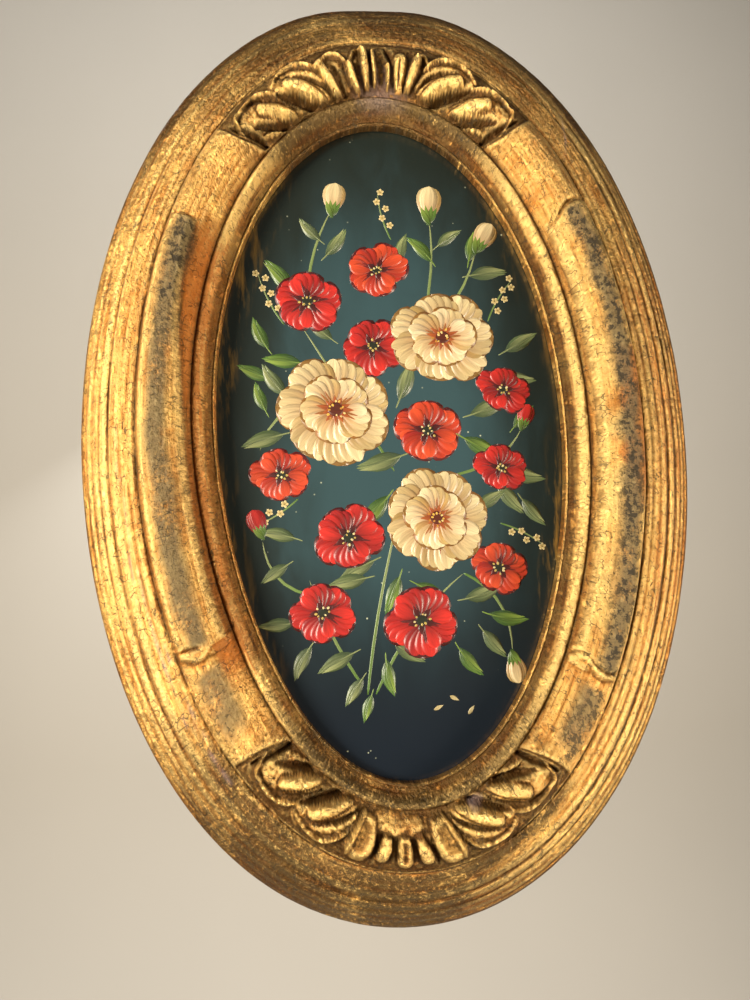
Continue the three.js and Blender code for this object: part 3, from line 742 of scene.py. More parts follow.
@dataclass(frozen=True)
class VarnishedGround:
    """Dark green oil ground on thin board under glossy dammar varnish; bare brown board at the back.

    To the eye: a deep, wet-looking dark with a painted shadow of the frame that darkens it to the rim, darker
    still towards the bottom, with dust and a smear of gilding.
    """

    middle: str = "2B4146"
    # painted shadow of the frame towards the rim
    rim: str = "161D19"
    low: str = "0D1620"
    gilt_smear: str = "8A6A2C"
    dust: str = "9AA08A"
    board: str = "8A6440"
    board_dark: str = "5A3D24"
    half_width_mm: float = 42.5
    half_length_mm: float = 82.5
    sweep_mm: Triple = (10.53, 10.53, 26.32)  # the broad brush of the ground
    dust_mm: float = 3.03  # between the places where a speck of dust can lie
    dust_patch_mm: float = 16.67
    fibre_mm: float = 1.111  # fibres of the bare board
    stain_mm: float = 38.46
    drag_mm: Triple = (2.381, 2.381, 14.29)  # a nearly dry brush
    smear_patch_mm: float = 45.45
    face_depth: float = 0.2  # how far behind its face the board is still painted
    sweep_depth: float = 0.15

    def build(self, centre_z: float, front_y: float) -> bpy.types.Material:
        """Make the material.

        Args:
            centre_z: Height of the oval's centre, in metres.
            front_y: Place of the painted face, in metres.

        Returns:
            The material.
        """
        wide, high = scale_of(self.half_width_mm), scale_of(self.half_length_mm)
        rows = (
            ("place", "place"),
            ("oval", "scaled", "place", (wide, 0.0, high), (0.0, 0.0, -centre_z * high)),
            ("reach", "length", "oval"),
            ("brush", "scaled", "place", scale_of(self.sweep_mm)),
            ("sweep", "noise", "brush", 1.0, 4.0, 0.55, 0.6),
            ("edge", "MULTIPLY_ADD", "sweep", 0.45, "reach"),
            # Painted shadow of the frame darkens the ground towards the rim, and it is darker towards the
            # bottom
            ("to the rim", "step", "edge", 0.55, 1.2),
            ("up", "z", "oval"),
            ("lower", "step", "up", -0.25, -0.95),
            ("green", "mix", "to the rim", linear(self.middle), linear(self.rim)),
            ("ground", "mix", "lower", "green", linear(self.low)),

            # Dust under the varnish
            ("specks", "cells", "place", scale_of(self.dust_mm)),
            ("dot", "range", "specks", 0.085, 0.05),
            ("rare", "noise", "place", scale_of(self.dust_patch_mm), 2.0),
            ("there", "range", "rare", 0.53, 0.6),
            ("dust", "MULTIPLY", "dot", "there"),
            ("dusty", "mix", "dust", "ground", linear(self.dust)),

            # Gilding smeared on the sides, by the sight edge
            ("drag", "scaled", "place", scale_of(self.drag_mm)),
            ("dry", "noise", "drag", 1.0, 4.0, 0.65),
            ("dragged", "range", "dry", 0.5, 0.66, 0.0, 0.7),
            ("broad", "noise", "place", scale_of(self.smear_patch_mm), 1.0),
            ("somewhere", "range", "broad", 0.42, 0.58),
            ("by the edge", "range", "reach", 0.9, 0.98),
            ("across", "x", "oval"),
            ("sideways", "ABSOLUTE", "across"),
            ("on the sides", "range", "sideways", 0.5, 0.8),
            ("smear place", "MULTIPLY", "by the edge", "on the sides"),
            ("smear", "MULTIPLY", "dragged", "smear place"),
            ("smear share", "MULTIPLY", "smear", "somewhere"),
            ("painted", "mix", "smear share", "dusty", linear(self.gilt_smear)),

            # Bare board behind
            ("fibre", "noise", "place", scale_of(self.fibre_mm), 4.0, 0.7, 1.5),
            ("stain", "noise", "place", scale_of(self.stain_mm), 4.0),
            ("aged", "range", "stain", 0.4, 0.7),
            ("board", "mix", "fibre", linear(self.board_dark), linear(self.board)),
            ("old board", "mix", "aged", "board", linear(self.board_dark)),
            ("depth", "y", "place"),
            ("front", "LESS_THAN", "depth", front_y + self.face_depth * MM),
            ("colour", "mix", "front", "old board", "painted"),
            ("roughness", "range", "front", 0.0, 1.0, 0.8, 0.34),
            ("bump", "bump", 0.35, self.sweep_depth * MM, "sweep"),
        )
        return new_material("oil_ground_under_dammar", (), rows, {
            "Base Color": "colour", "Roughness": "roughness", "Coat Weight": "front",
            "Coat Roughness": 0.12, "Normal": "bump"})


@dataclass(frozen=True)
class OilPaint:
    """Oil colour laid on with a loaded brush and varnished: to the eye bristle lines under a soft gloss."""

    bristles: float = 9.0  # lines across one stroke
    runs: float = 1.6  # changes along one stroke
    bristle_depth: float = 0.06
    varnish: Triple = (0.60, 0.55, 0.44)  # what the yellowed varnish lets through

    def build(self) -> bpy.types.Material:
        """Make the material; it reads the strokes' colours and their own UV map."""
        rows = (
            ("paint", "paint"),
            ("stroke", "stroke map"),
            ("hairs", "scaled", "stroke", (self.runs, self.bristles, 1.0)),
            ("lines", "noise", "hairs", 1.0, 3.0, 0.6),
            ("shade", "range", "lines", 0.3, 0.7, 0.72, 1.18),
            ("shaded", "tint", "paint", "shade"),
            ("varnished", "tint", "shaded", self.varnish),
            ("bump", "bump", 0.6, self.bristle_depth * MM, "lines"),
        )
        return new_material("varnished_oil_strokes", (), rows, {
            "Base Color": "varnished", "Roughness": 0.48, "Coat Weight": 0.18, "Coat Roughness": 0.25,
            "Normal": "bump"})


@dataclass(frozen=True)
class OldMetal:
    """Thin plated or drawn metal that has dulled: to the eye a brown bloom over a soft reflection."""

    name: str
    clean: str
    bloom: str
    roughness: float
    patch_mm: float
    bloom_depth: float = 0.05

    def build(self) -> bpy.types.Material:
        """Make the material."""
        rows = (
            ("place", "place"),
            ("stain", "noise", "place", scale_of(self.patch_mm), 5.0, 0.65),
            ("bloomed", "range", "stain", 0.42, 0.68),
            ("colour", "mix", "bloomed", linear(self.clean), linear(self.bloom)),
            ("metallic", "range", "bloomed", 0.0, 1.0, 1.0, 0.55),
            ("dull", "range", "bloomed", 0.0, 1.0, self.roughness, self.roughness + 0.3),
            ("bump", "bump", 0.3, self.bloom_depth * MM, "stain"),
        )
        return new_material(self.name, (), rows, {
            "Base Color": "colour", "Metallic": "metallic", "Roughness": "dull", "Normal": "bump"})


@dataclass(frozen=True)
class StudioPaper:
    """Matt background paper: to the eye pale, even and very slightly mottled."""

    tone: str = "B4B0A8"
    mottle_mm: float = 250.0

    def build(self) -> bpy.types.Material:
        """Make the material."""
        rows = (
            ("place", "place"),
            ("mottle", "noise", "place", scale_of(self.mottle_mm), 2.0),
            ("shade", "range", "mottle", 0.0, 1.0, 0.94, 1.04),
            ("colour", "tint", linear(self.tone)[:3], "shade"),
        )
        return new_material("matt_background_paper", (), rows, {"Base Color": "colour", "Roughness": 0.9})


def select_only(piece: bpy.types.Object | None = None) -> None:
    """Select one piece alone for the next operator, or leave nothing selected."""
    for thing in bpy.context.selected_objects:
        thing.select_set(False)
    if piece:
        piece.select_set(True)
        bpy.context.view_layer.objects.active = piece


def named_piece(name: str) -> bpy.types.Object:
    """Name the primitive that was just added, and its mesh."""
    piece = bpy.context.object
    piece.name = piece.data.name = name
    return piece


def edit(piece: bpy.types.Object, *steps: Callable[[], Any]) -> None:
    """Run edit mode operators on everything in a piece.

    Args:
        piece: The piece to edit.
        steps: Calls to make in edit mode, with all of the mesh selected before the first.
    """
    select_only(piece)
    bpy.ops.object.mode_set(mode="EDIT")
    bpy.ops.mesh.select_all(action="SELECT")
    for step in steps:
        step()
    bpy.ops.object.mode_set(mode="OBJECT")


def cut_box(piece: bpy.types.Object, name: str, size: Triple,
            middle: Triple, turn: float = 0.0) -> None:
    """Cut a box out of a piece; the cut's faces take the piece's last material.

    Args:
        piece: The piece to cut.
        name: Name of the cut.
        size: The box's width, depth and height, in millimetres.
        middle: Its middle, in millimetres.
        turn: How far it is turned about the Y axis, in radians.
    """
    select_only()
    bpy.ops.mesh.primitive_cube_add(size=1, location=Vector(middle) * MM, rotation=(0, turn, 0))
    cutter = named_piece(name)
    cutter.scale = Vector(size) * MM
    bpy.ops.object.transform_apply(location=True, rotation=True, scale=True)
    for material in piece.data.materials:
        cutter.data.materials.append(material)
    last = max(0, len(piece.data.materials) - 1)
    cutter.data.polygons.foreach_set("material_index", [last] * len(cutter.data.polygons))
    select_only(piece)
    boolean = piece.modifiers.new(name, "BOOLEAN")
    boolean.operation = "DIFFERENCE"
    boolean.solver = "EXACT"
    boolean.object = cutter
    bpy.ops.object.modifier_apply(modifier=name)
    bpy.data.objects.remove(cutter)


def write_attribute(mesh: bpy.types.Mesh, name: str, kind: str, values: Array) -> None:
    """Store one value, or one vector, for each vertex of a mesh."""
    layer = mesh.attributes.new(name, kind, "POINT")
    layer.data.foreach_set("vector" if kind == "FLOAT_VECTOR" else "value",
                           np.ascontiguousarray(values, dtype=np.float32).ravel())


@dataclass
class GildedFrame:
    """The carved ring of gilded wood: a section spun round, then laid out as the oval and carved."""

    ring: Ring = field(default_factory=Ring)
    top_shift: float = -2.0
    bottom_shift: float = 3.0
    palmette_half: float = 41.0
    ground_sink: float = 0.9
    band_margin: float = 1.0
    end_at_groove: float = 1.04
    end_slant: float = 0.16
    reed_inset: float = 7.4
    reed_depth: float = 0.6
    reed_half_width: float = 0.7
    reed_wander: float = 0.9
    reed_waver: float = 0.25
    fine_reeds: tuple[Point, ...] = ((1.5, 0.16), (3.1, 0.12), (4.9, 0.3), (10.2, 0.14), (12.2, 0.1))
    fine_reed_half_width: float = 0.5
    right_reed_gain: float = 1.4  # how much deeper the fine reeds are down the right side
    bar_rise: float = 1.3
    bar_edge: float = 1.5
    bar_outer_margin: float = 0.3
    bar_inner_margin: float = 1.0
    tongue_length: float = 3.0
    step_wave: float = 1.0
    step_wave_length: float = 9.0
    step_wave_start: float = 3.0
    knuckle_rise: float = 0.9
    knuckle_half: Point = (1.6, 3.4)
    bars: tuple[Bar, ...] = (
        Bar(1, 22.0, 19.7, 0.0, 0.82, 0.38), Bar(-1, 26.0, 28.2, 4.0, 0.73, 0.46))
    carved_step: float = 0.28
    plain_step: float = 0.72
    carved_margin: float = 3.5  # how far the close columns go past a palmette
    line_samples: int = 4001
    step_blend: int = 25  # samples over which the columns get closer
    outer_rows: tuple[float, ...] = (
        0, 0.35, 0.9, 1.5, 2.1, 2.6, 3.1, 3.7, 4.4, 4.9, 5.4, 6.0, 6.7, 7.05, 7.4, 7.75, 8.1, 8.8, 9.6,
        10.2, 10.8, 11.5, 12.2, 12.9, 13.5, 13.9)
    band_rows: int = 31
    bead_rows: tuple[float, ...] = (0.18, 0.36, 0.54, 0.74, 1)
    cove_rows: tuple[float, ...] = (0.2, 0.45, 0.72, 1)
    lip_rows: tuple[float, ...] = (0.45, 0.85, 1)
    back_rows: Point = (18.0, 8.0)
    rim_rows: Point = (3.0, 5.2)
    lip_edge: float = 7.1
    groove_fill: float = 0.45  # gesso that has run into the groove
    groove_fill_width: float = 0.7
    hand_wobble: float = 0.35  # how far the carver's cuts stray
    comb_relief: float = 0.07  # fine streaks along the moulding
    grain_relief: float = 0.05
    lump_relief: float = 0.1
    ground_below: float = 0.2  # relief under which a place in a palmette is its ground
    punch_depth: float = 0.25  # of the uneven ground between the leaves
    rebate_share: float = 0.8  # the rebate is inside this share of the outer oval
    hanger_size: Triple = (42.6, 8.6, 1.5)
    pocket_size: Triple = (26.0, 10.0, 3.6)

    def rows(self) -> tuple[Array, Array, int]:
        """Lay out the section.

        Returns:
            The insets and heights of its rows, and how many of them, the first ones, face forward.
        """
        ring = self.ring
        front = [*self.outer_rows, *np.linspace(ring.outer_member, ring.band_end, self.band_rows)]
        for start, width, shares in ((ring.band_end, ring.bead_width, self.bead_rows),
                                     (ring.cove_inset, ring.cove_width, self.cove_rows),
                                     (ring.lip_inset, ring.lip_width, self.lip_rows)):
            front += [start + share * width for share in shares]
        rebate = ring.sight_inset - ring.rebate_width
        rest = np.array([
            (ring.sight_inset, self.lip_edge), (ring.sight_inset, ring.shoulder_height),
            (rebate, ring.shoulder_height), (rebate, 0.0), *((inset, 0.0) for inset in self.back_rows),
            (ring.back_chamfer, 0.0), (0.0, ring.back_chamfer),
            *((0.0, height) for height in self.rim_rows)])
        flat = self.face_height(np.zeros(len(front)), np.array(front), np.zeros(len(front)))
        return np.append(front, rest[:, 0]), np.append(flat, rest[:, 1]), len(front)

    def stations(self) -> Array:
        """Places of the mesh's columns along the crest line, close where it is carved."""
        ring = self.ring
        distances = ring.crest_line[1]
        line = np.linspace(distances[0], distances[-1], self.line_samples)
        reach = self.palmette_half + self.carved_margin
        carved = (np.abs(line - self.top_shift) < reach)
        carved |= np.abs(ring.from_bottom(line) - self.bottom_shift) < reach
        for bar in self.bars:
            upper, lower = self.bar_ends(bar)
            run = line * bar.side
            carved |= (np.abs(run - upper - 2) < 6) | (np.abs(run - lower) < 5)
        density = np.where(carved, 1 / self.carved_step, 1 / self.plain_step)
        width = self.step_blend
        padded = np.concatenate([density[-width - 1:-1], density, density[1:width + 1]])
        density = np.convolve(padded, np.ones(2 * width + 1) / (2 * width + 1), "valid")
        count = np.concatenate([[0], np.cumsum((density[1:] + density[:-1]) / 2 * np.diff(line))])
        columns = int(count[-1])
        return np.interp(np.arange(columns) * count[-1] / columns, count, line)

    def bar_ends(self, bar: Bar) -> Point:
        """Distances from the top, along the crest line, of a bar's upper and lower end."""
        distances = self.ring.crest_line[1]
        half_lap = distances[-1] if bar.side > 0 else -distances[0]
        return self.palmette_half + bar.upper_gap, half_lap - self.palmette_half - bar.lower_gap

    def palmette(self, along: Array, inset: Array, cuts: tuple[Cut, ...]) -> Array:
        """Relief of one palmette on the band.

        Args:
            along: Distances from the palmette's middle.
            inset: Insets from the outer edge.
            cuts: All its carved forms.

        Returns:
            Height added to the band, negative where the ground is sunk.
        """
        ring = self.ring
        share = (inset - ring.outer_member) / ring.mid_band
        end = self.palmette_half * (self.end_at_groove - self.end_slant * share ** 2)
        inside = smooth(0.4, -0.4, np.abs(along) - end)
        carved = {tool: np.zeros_like(along) for tool in Tool}
        for cut in cuts:
            carved[cut.tool] = np.maximum(carved[cut.tool], cut.effect(along, inset))
        raised, ridged = carved[Tool.MOUND], carved[Tool.RIDGE]
        sunk = np.maximum(carved[Tool.GOUGE], carved[Tool.SCOOP])
        on_band = smooth(ring.outer_member, ring.outer_member + self.band_margin, inset)
        on_band *= 1 - smooth(ring.band_end - self.band_margin, ring.band_end, inset)
        relief = np.maximum(raised, ridged) + 0.5 * np.minimum(raised, ridged) - sunk
        return (relief - self.ground_sink * inside) * on_band

    def bar_relief(self, along: Array, inset: Array) -> Array:
        """Relief of the two side bars with their knuckles."""
        ring = self.ring
        outer = ring.outer_member + self.bar_outer_margin
        full_inner = ring.band_end - self.bar_inner_margin
        middle_inset = (outer + full_inner) / 2
        relief = np.zeros_like(along)
        for bar in self.bars:
            upper, lower = self.bar_ends(bar)
            run = along * bar.side
            tongue = self.tongue_length * ((inset - middle_inset) / (ring.mid_band / 2)) ** 2
            turn = (inset - ring.outer_member - self.step_wave_start) / self.step_wave_length
            start = upper + tongue
            finish = lower + self.step_wave * np.sin(2 * math.pi * turn)
            inner = full_inner - bar.taper * (1 - smooth(upper, (upper + lower) / 2, run))
            lengthwise = smooth(start - self.bar_edge / 3, start + self.bar_edge / 3, run)
            lengthwise *= 1 - smooth(finish - self.bar_edge / 3, finish + self.bar_edge / 3, run)
            crosswise = smooth(outer, outer + self.bar_edge, inset)
            crosswise *= 1 - smooth(inner - self.bar_edge, inner, inset)
            relief = relief + self.bar_rise * lengthwise * crosswise
            knuckle_inset = ring.outer_member + bar.knuckle * ring.mid_band
            oval = (((run - lower) / self.knuckle_half[0]) ** 2
                    + ((inset - knuckle_inset) / self.knuckle_half[1]) ** 2)
            on_band = 1 - smooth(ring.band_end - self.band_margin, ring.band_end, inset)
            knuckle = self.knuckle_rise * np.sqrt(np.maximum(0, 1 - oval)) * on_band
            relief = np.where(oval < 1, np.maximum(relief, 0.4 * relief + knuckle), relief)
        for crease in BAR_CREASES:
            sign = 1 if crease.tool is Tool.RIDGE else -1
            relief = relief + sign * crease.effect(along, inset)
        return relief

    def face_height(self, along: Array, inset: Array, carved: Array) -> Array:
        """Height of the face above the back.

        Args:
            along: Places along the crest line.
            inset: Insets from the outer edge.
            carved: Relief to add on the mid band.

        Returns:
            Heights in millimetres.
        """
        ring = self.ring
        crest = ring.bead_height + ring.crest_rise
        groove = crest - ring.groove_drop
        share = np.clip(inset / ring.outer_member, 0, 1)
        outer = groove + ring.shelf_rise - ring.outer_fall * (1 - share) ** ring.outer_curve
        outer = outer - self.reed_depth * np.maximum(
            0, 1 - np.abs(inset - self.reed_inset) / self.reed_half_width)
        for place, depth in self.fine_reeds:
            away = np.clip(np.abs(inset - place) / self.fine_reed_half_width, 0, 1)
            deeper = self.right_reed_gain * within((30, 90, along), (235, 180, along))
            outer = outer - depth * (1 - away) * (1 + deeper)
        band_edge = ring.bead_height - ring.bead_drop
        share = np.clip((inset - ring.outer_member) / ring.mid_band, 0, 1)
        base = groove + (band_edge - groove) * share
        crest_base = groove + (band_edge - groove) * ring.crest_share
        arch = np.maximum(0, np.sin(math.pi * share ** ring.torus_skew)) ** ring.torus_fullness
        filled = self.groove_fill * np.exp((ring.outer_member - inset) / self.groove_fill_width)
        band = base + (crest - crest_base) * arch + carved + filled
        share = np.clip((inset - ring.band_end) / ring.bead_width, 0, 1)
        bead = (band_edge - ring.bead_fall * share
                + ring.bead_drop * np.sin(math.pi * share) ** ring.bead_fullness)
        share = np.clip((inset - ring.cove_inset) / ring.cove_width, 0, 1)
        cove_rise = band_edge - ring.bead_fall - ring.lip_height
        cove = ring.lip_height + cove_rise * (1 - share) ** ring.cove_curve
        share = np.clip((inset - ring.lip_inset) / ring.lip_width, 0, 1)
        lip = (ring.lip_height + ring.lip_swell * np.sin(math.pi * share)
               - ring.lip_round * share ** 2)
        members = [inset < ring.outer_member, inset <= ring.band_end, inset <= ring.cove_inset,
                   inset <= ring.lip_inset]
        return np.select(members, [outer, band, bead, cove], lip)

    def build(self) -> bpy.types.Object:
        """Spin the section, lay it out as the carved oval, let the hanger in and dress it."""
        insets, heights, front_rows = self.rows()
        stations = self.stations()
        piece = self.spun_ring(insets, heights, len(stations))
        self.lay_out(piece.data, insets, heights, front_rows, stations)
        self.let_in_hanger(piece)
        select_only(piece)
        bpy.ops.object.shade_smooth_by_angle(angle=math.radians(50))
        return piece

    def spun_ring(self, insets: Array, heights: Array, columns: int) -> bpy.types.Object:
        """Turn the section round, in metres: a round ring whose outer radius is half the frame's length."""
        select_only()
        bpy.ops.mesh.primitive_circle_add(vertices=len(insets), radius=MM, fill_type="NOTHING")
        piece = named_piece("gilded_frame")
        section = np.stack([self.ring.length / 2 - insets, np.zeros(len(insets)), heights], axis=-1) * MM
        piece.data.vertices.foreach_set("co", section.ravel())
        turned = piece.modifiers.new("turned_round", "SCREW")
        turned.angle = 2 * math.pi
        turned.steps = turned.render_steps = columns
        turned.use_merge_vertices = True
        turned.merge_threshold = 0.001 * MM
        bpy.ops.object.modifier_apply(modifier=turned.name)
        edit(piece, lambda: bpy.ops.mesh.normals_make_consistent(inside=False))
        return piece

    def lay_out(self, mesh: bpy.types.Mesh, insets: Array, heights: Array, front_rows: int,
                stations: Array) -> None:
        """Move the round ring's vertices to their places on the oval, carve them and note the wear."""
        ring = self.ring
        places = np.empty(len(mesh.vertices) * 3)
        mesh.vertices.foreach_get("co", places)
        places = places.reshape(-1, 3) / MM
        turn = np.arctan2(-places[:, 1], places[:, 0]) / (2 * math.pi) % 1
        column = np.round(turn * len(stations)).astype(int) % len(stations)
        found = np.stack([ring.length / 2 - np.hypot(places[:, 0], places[:, 1]), places[:, 2]], axis=-1)
        row = np.abs(found[:, None, :] - np.stack([insets, heights], axis=-1)[None]).sum(-1).argmin(1)
        along, inset, forward = stations[column], insets[row], row < front_rows
        angle = ring.angle_at(along)
        wander = self.reed_wander * np.cos(angle) + self.reed_waver * np.sin(3 * angle)
        inset = inset + wander * forward * within(
            (0, self.reed_inset, inset), (ring.outer_member, self.reed_inset, inset))

        turn_radius = ring.lap / (2 * math.pi)
        lap_angle = 2 * math.pi * along / ring.lap
        wall = np.where(~forward & (inset < ring.back_chamfer), heights[row] - heights[0], 0)
        run = np.stack([turn_radius * np.cos(lap_angle), turn_radius * np.sin(lap_angle),
                        inset + wall], axis=-1)
        stray, rough = Lattice(7), Lattice(11)
        strayed_along = along + self.hand_wobble * stray.at(run, 0.21)
        strayed_inset = inset + 0.7 * self.hand_wobble * stray.at(run + 31.0, 0.23)
        band = forward & (inset > ring.outer_member) & (inset < ring.band_end)
        relief = np.zeros(len(along))
        sides = SIDE_CUTS + tuple(cut.mirrored() for cut in SIDE_CUTS)
        bottom = sides + BOTTOM_CUTS + tuple(cut.mirrored() for cut in BOTTOM_CUTS) + BOTTOM_MIDDLE
        place, across = strayed_along[band], strayed_inset[band]
        below = ring.from_bottom(along[band]) + place - along[band] - self.bottom_shift
        relief[band] = (self.palmette(place - self.top_shift, across, sides + TOP_MIDDLE)
                        + self.palmette(below, across, bottom) + self.bar_relief(place, across))
        height = np.where(forward, self.face_height(along, inset, relief), heights[row])
        height = height + forward * (self.comb_relief * rough.at(run, (0.06, 0.06, 1.7))
                                     + self.grain_relief * rough.at(run, 0.9)
                                     + self.lump_relief * stray.at(run, 0.13))
        from_middle = np.minimum(np.abs(ring.from_bottom(along) - self.bottom_shift),
                                 np.abs(along - self.top_shift))
        ground = band & (from_middle < self.palmette_half) & (relief < self.ground_below)
        height = height - np.where(ground, self.punch_depth * np.maximum(0, rough.at(run, 1.3)), 0)

        mesh.vertices.foreach_set("co", (ring.place(angle, inset, height) * MM).ravel())
        self.note_wear(mesh, Layout(along, inset, height, relief, run, row, column, forward))
        self.assign_finishes(mesh)
        mesh.update()

    def bar_wear(self, layout: Layout, patches: Array) -> tuple[Array, Array, Array]:
        """Find the wear on the side bars, with the painted highlight and the painted dull reflection on them.

        Args:
            layout: Where the vertices are.
            patches: Slow noise that makes the wear uneven.

        Returns:
            How grey the crests are, partly a painted dull reflection, how bright the painted highlight along
            the right bar is, and how far each place is past its bar's inner edge.
        """
        ring, along, inset = self.ring, layout.along, layout.inset
        share = (inset - ring.outer_member) / ring.mid_band
        crest, bar_highlight = np.zeros(len(along)), np.zeros(len(along))
        past_edge = np.full(len(along), NOWHERE)
        for bar in self.bars:
            upper, lower = self.bar_ends(bar)
            down = along * bar.side
            on_bar = within((upper - 1, upper + 2, down), (lower, lower - 3, down))
            off_crest = np.abs(share - bar.crest - 0.08 * patches)
            crest = np.maximum(crest, on_bar * smooth(0.3, 0.08, off_crest))
            crest = np.maximum(crest, 0.9 * within(
                (lower + 2, lower + 5, down), (lower + 23, lower + 15, down),
                (0.36, 0.12, np.abs(share - 0.42))))
            inner = ring.band_end - self.bar_inner_margin - bar.taper * (
                1 - smooth(upper, (upper + lower) / 2, down))
            past_edge = np.where(on_bar > 0.1, inset - inner, past_edge)
            if bar.side > 0:
                # Painted highlight along the right bar
                bar_highlight = 0.8 * on_bar * smooth(0.2, 0.06, np.abs(share - 0.66)) * (0.6 + patches)
        return crest, bar_highlight, past_edge

    def note_wear(self, mesh: bpy.types.Mesh, layout: Layout) -> None:
        """Store where the leaf is rubbed, thin, toned or mended, and where shade, highlights and reflections
        are painted, for the material to read.
        """
        ring, along, inset = self.ring, layout.along, layout.inset
        from_bottom = ring.from_bottom(along)
        share = (inset - ring.outer_member) / ring.mid_band
        patches = Lattice(23).at(layout.run, 0.16)
        on_band = (inset > ring.outer_member) & (inset < ring.band_end)
        in_palmette = np.maximum(
            smooth(4, 0, np.abs(along - self.top_shift) - self.palmette_half),
            smooth(4, 0, np.abs(from_bottom - self.bottom_shift) - self.palmette_half))
        zones = {name: np.max([zone.share(along, from_bottom, inset) for zone in group], axis=0)
                 for name, group in WEAR_ZONES.items()}
        crest, bar_highlight, past_edge = self.bar_wear(layout, patches)
        bulge = layout.bulge()

        # Rubbed wear on raised parts, together with a painted highlight there and along the right bar
        rubbed_and_highlight = np.max([np.clip(bulge * 8, 0, 1), bar_highlight, peak(past_edge, -0.7, 0.55)], axis=0)
        # Painted shade on the slope at the bottom
        shaded_bottom_slope = np.maximum(zones["below"], peak(inset, 13, 1.7) * smooth(
            50, 28, np.abs(from_bottom - 4)))

        deep = np.where(on_band, np.clip(-layout.relief, 0, 1.6) * in_palmette, 0)
        seam = 0.5 * peak(inset, ring.outer_member, 0.7) + 0.3 * peak(inset, ring.band_end + 0.1, 0.45)
        seam = seam * (0.7 + 0.9 * Lattice(29).at(layout.run, 0.16))
        kept = np.where(on_band, 0.4 + 0.55 * in_palmette, np.where(along < 0, 0.5, 0.68))
        # Dirt in the carving's hollows and grooves, together with painted shade there, at the top of the lip
        # and on the bottom slope
        hollow = np.clip(-bulge * 7, 0, 1) * kept + layout.forward * (0.6 * deep + 0.45 * seam)
        hollow = np.max([hollow, zones["hollow"], (0.35 + 0.25 * patches) * shaded_bottom_slope], axis=0)

        speckled = crest * np.where(along < 0, 0.15 + 0.85 * smooth(-112, -84, along), 1.0)
        speckled = speckled * smooth(182, 176, np.abs(along))
        edge_line = within((0.5, 0.3, np.abs(share - 0.16 + 0.08 * patches)), (0, 20, along),
                           (0.05, 0.3, crest + 0.2 * patches))
        speckled = np.maximum(speckled, 0.8 * edge_line)

        # Red bole showing, together with a painted warm reflection on slopes that face right: the left inner
        # slope here, the right bar's outer half and the right outer slope
        left_inner = within((-56, -74, along), (-195, -170, along), (
            -1.2, 0.2, np.where(past_edge < NOWHERE, past_edge, inset - 23)))
        right_edge = RIGHT_EDGE.share(along, from_bottom, inset + 0.15 * ring.mid_band * patches)
        bole = np.max([zones["bole"], right_edge * on_band,
                       left_inner * (0.95 - 0.35 * smooth(27.5, 31, inset)),
                       0.3 * in_palmette * on_band * smooth(0.6, 1, share)], axis=0)

        # Toning in the palmettes, and painted shade on the top shelf, the coves, the top's outer edge and the
        # bottom slope
        toned_and_shade = np.max([zones["toned_and_shade"], shaded_bottom_slope, 0.45 * in_palmette * on_band * (1 - rubbed_and_highlight)], axis=0)
        toned_and_shade = toned_and_shade * (0.8 + 0.3 * patches)

        wavy = inset + 0.5 * Lattice(31).at(layout.run, 0.3)
        # Painted lavender reflection in the top palmette's flutes, in the filler's colour
        flute_sheen = within((10, 4, np.abs(along - 0.5)), (20.5, 22.5, inset), (31, 28, inset),
                        (0.35, 0.9, hollow + 0.4 * (inset > 27.3)))
        mended = MENDED_CHIP.effect(np.where(along > 0, along - ring.lap, along), inset)
        filled = np.max([*(crack.effect(along, wavy) for crack in CRACKS), 0.55 * flute_sheen, mended], axis=0)

        for name, values in {
                "hollow": hollow, "rubbed_and_highlight": rubbed_and_highlight, "bole": bole, "toned_and_shade": toned_and_shade, "bar_crest": crest,
                "combed": 1 - 0.85 * in_palmette * on_band - 0.6 * crest, "speckled": speckled,
                "filler": filled * (0.6 + 0.4 * patches)}.items():
            write_attribute(mesh, name, "FLOAT", np.clip(values, 0, 1))
        write_attribute(mesh, "run", "FLOAT_VECTOR", layout.run)

    def assign_finishes(self, mesh: bpy.types.Mesh) -> None:
        """Give the face and the rim gold leaf, and the rebate and the back bare wood."""
        mesh.materials.append(GoldLeaf().build())
        mesh.materials.append(StainedPoplar().build())
        mesh.update()
        normals, centres = np.empty((2, len(mesh.polygons) * 3))
        mesh.polygons.foreach_get("normal", normals)
        mesh.polygons.foreach_get("center", centres)
        normals, centres = normals.reshape(-1, 3), centres.reshape(-1, 3) / MM
        ring = self.ring
        in_rebate = np.hypot(centres[:, 0] / ring.width * 2,
                             (centres[:, 2] - ring.centre_z) / ring.length * 2) < self.rebate_share
        behind = (normals[:, 1] > 0.5) | (-centres[:, 1] < ring.shoulder_height - 0.05) & in_rebate
        mesh.polygons.foreach_set("material_index", behind.astype(np.int32))

    def let_in_hanger(self, piece: bpy.types.Object) -> None:
        """Cut the seat of the hanger and the nail's pocket into the back."""
        margin = 1.0
        for name, (width, height, depth), drop in (
                ("hanger_seat", self.hanger_size, 0.0),
                ("nail_pocket", self.pocket_size, self.pocket_size[1] / 2)):
            cut_box(piece, name, (width, depth + margin, height), (0, (margin - depth) / 2, -drop))


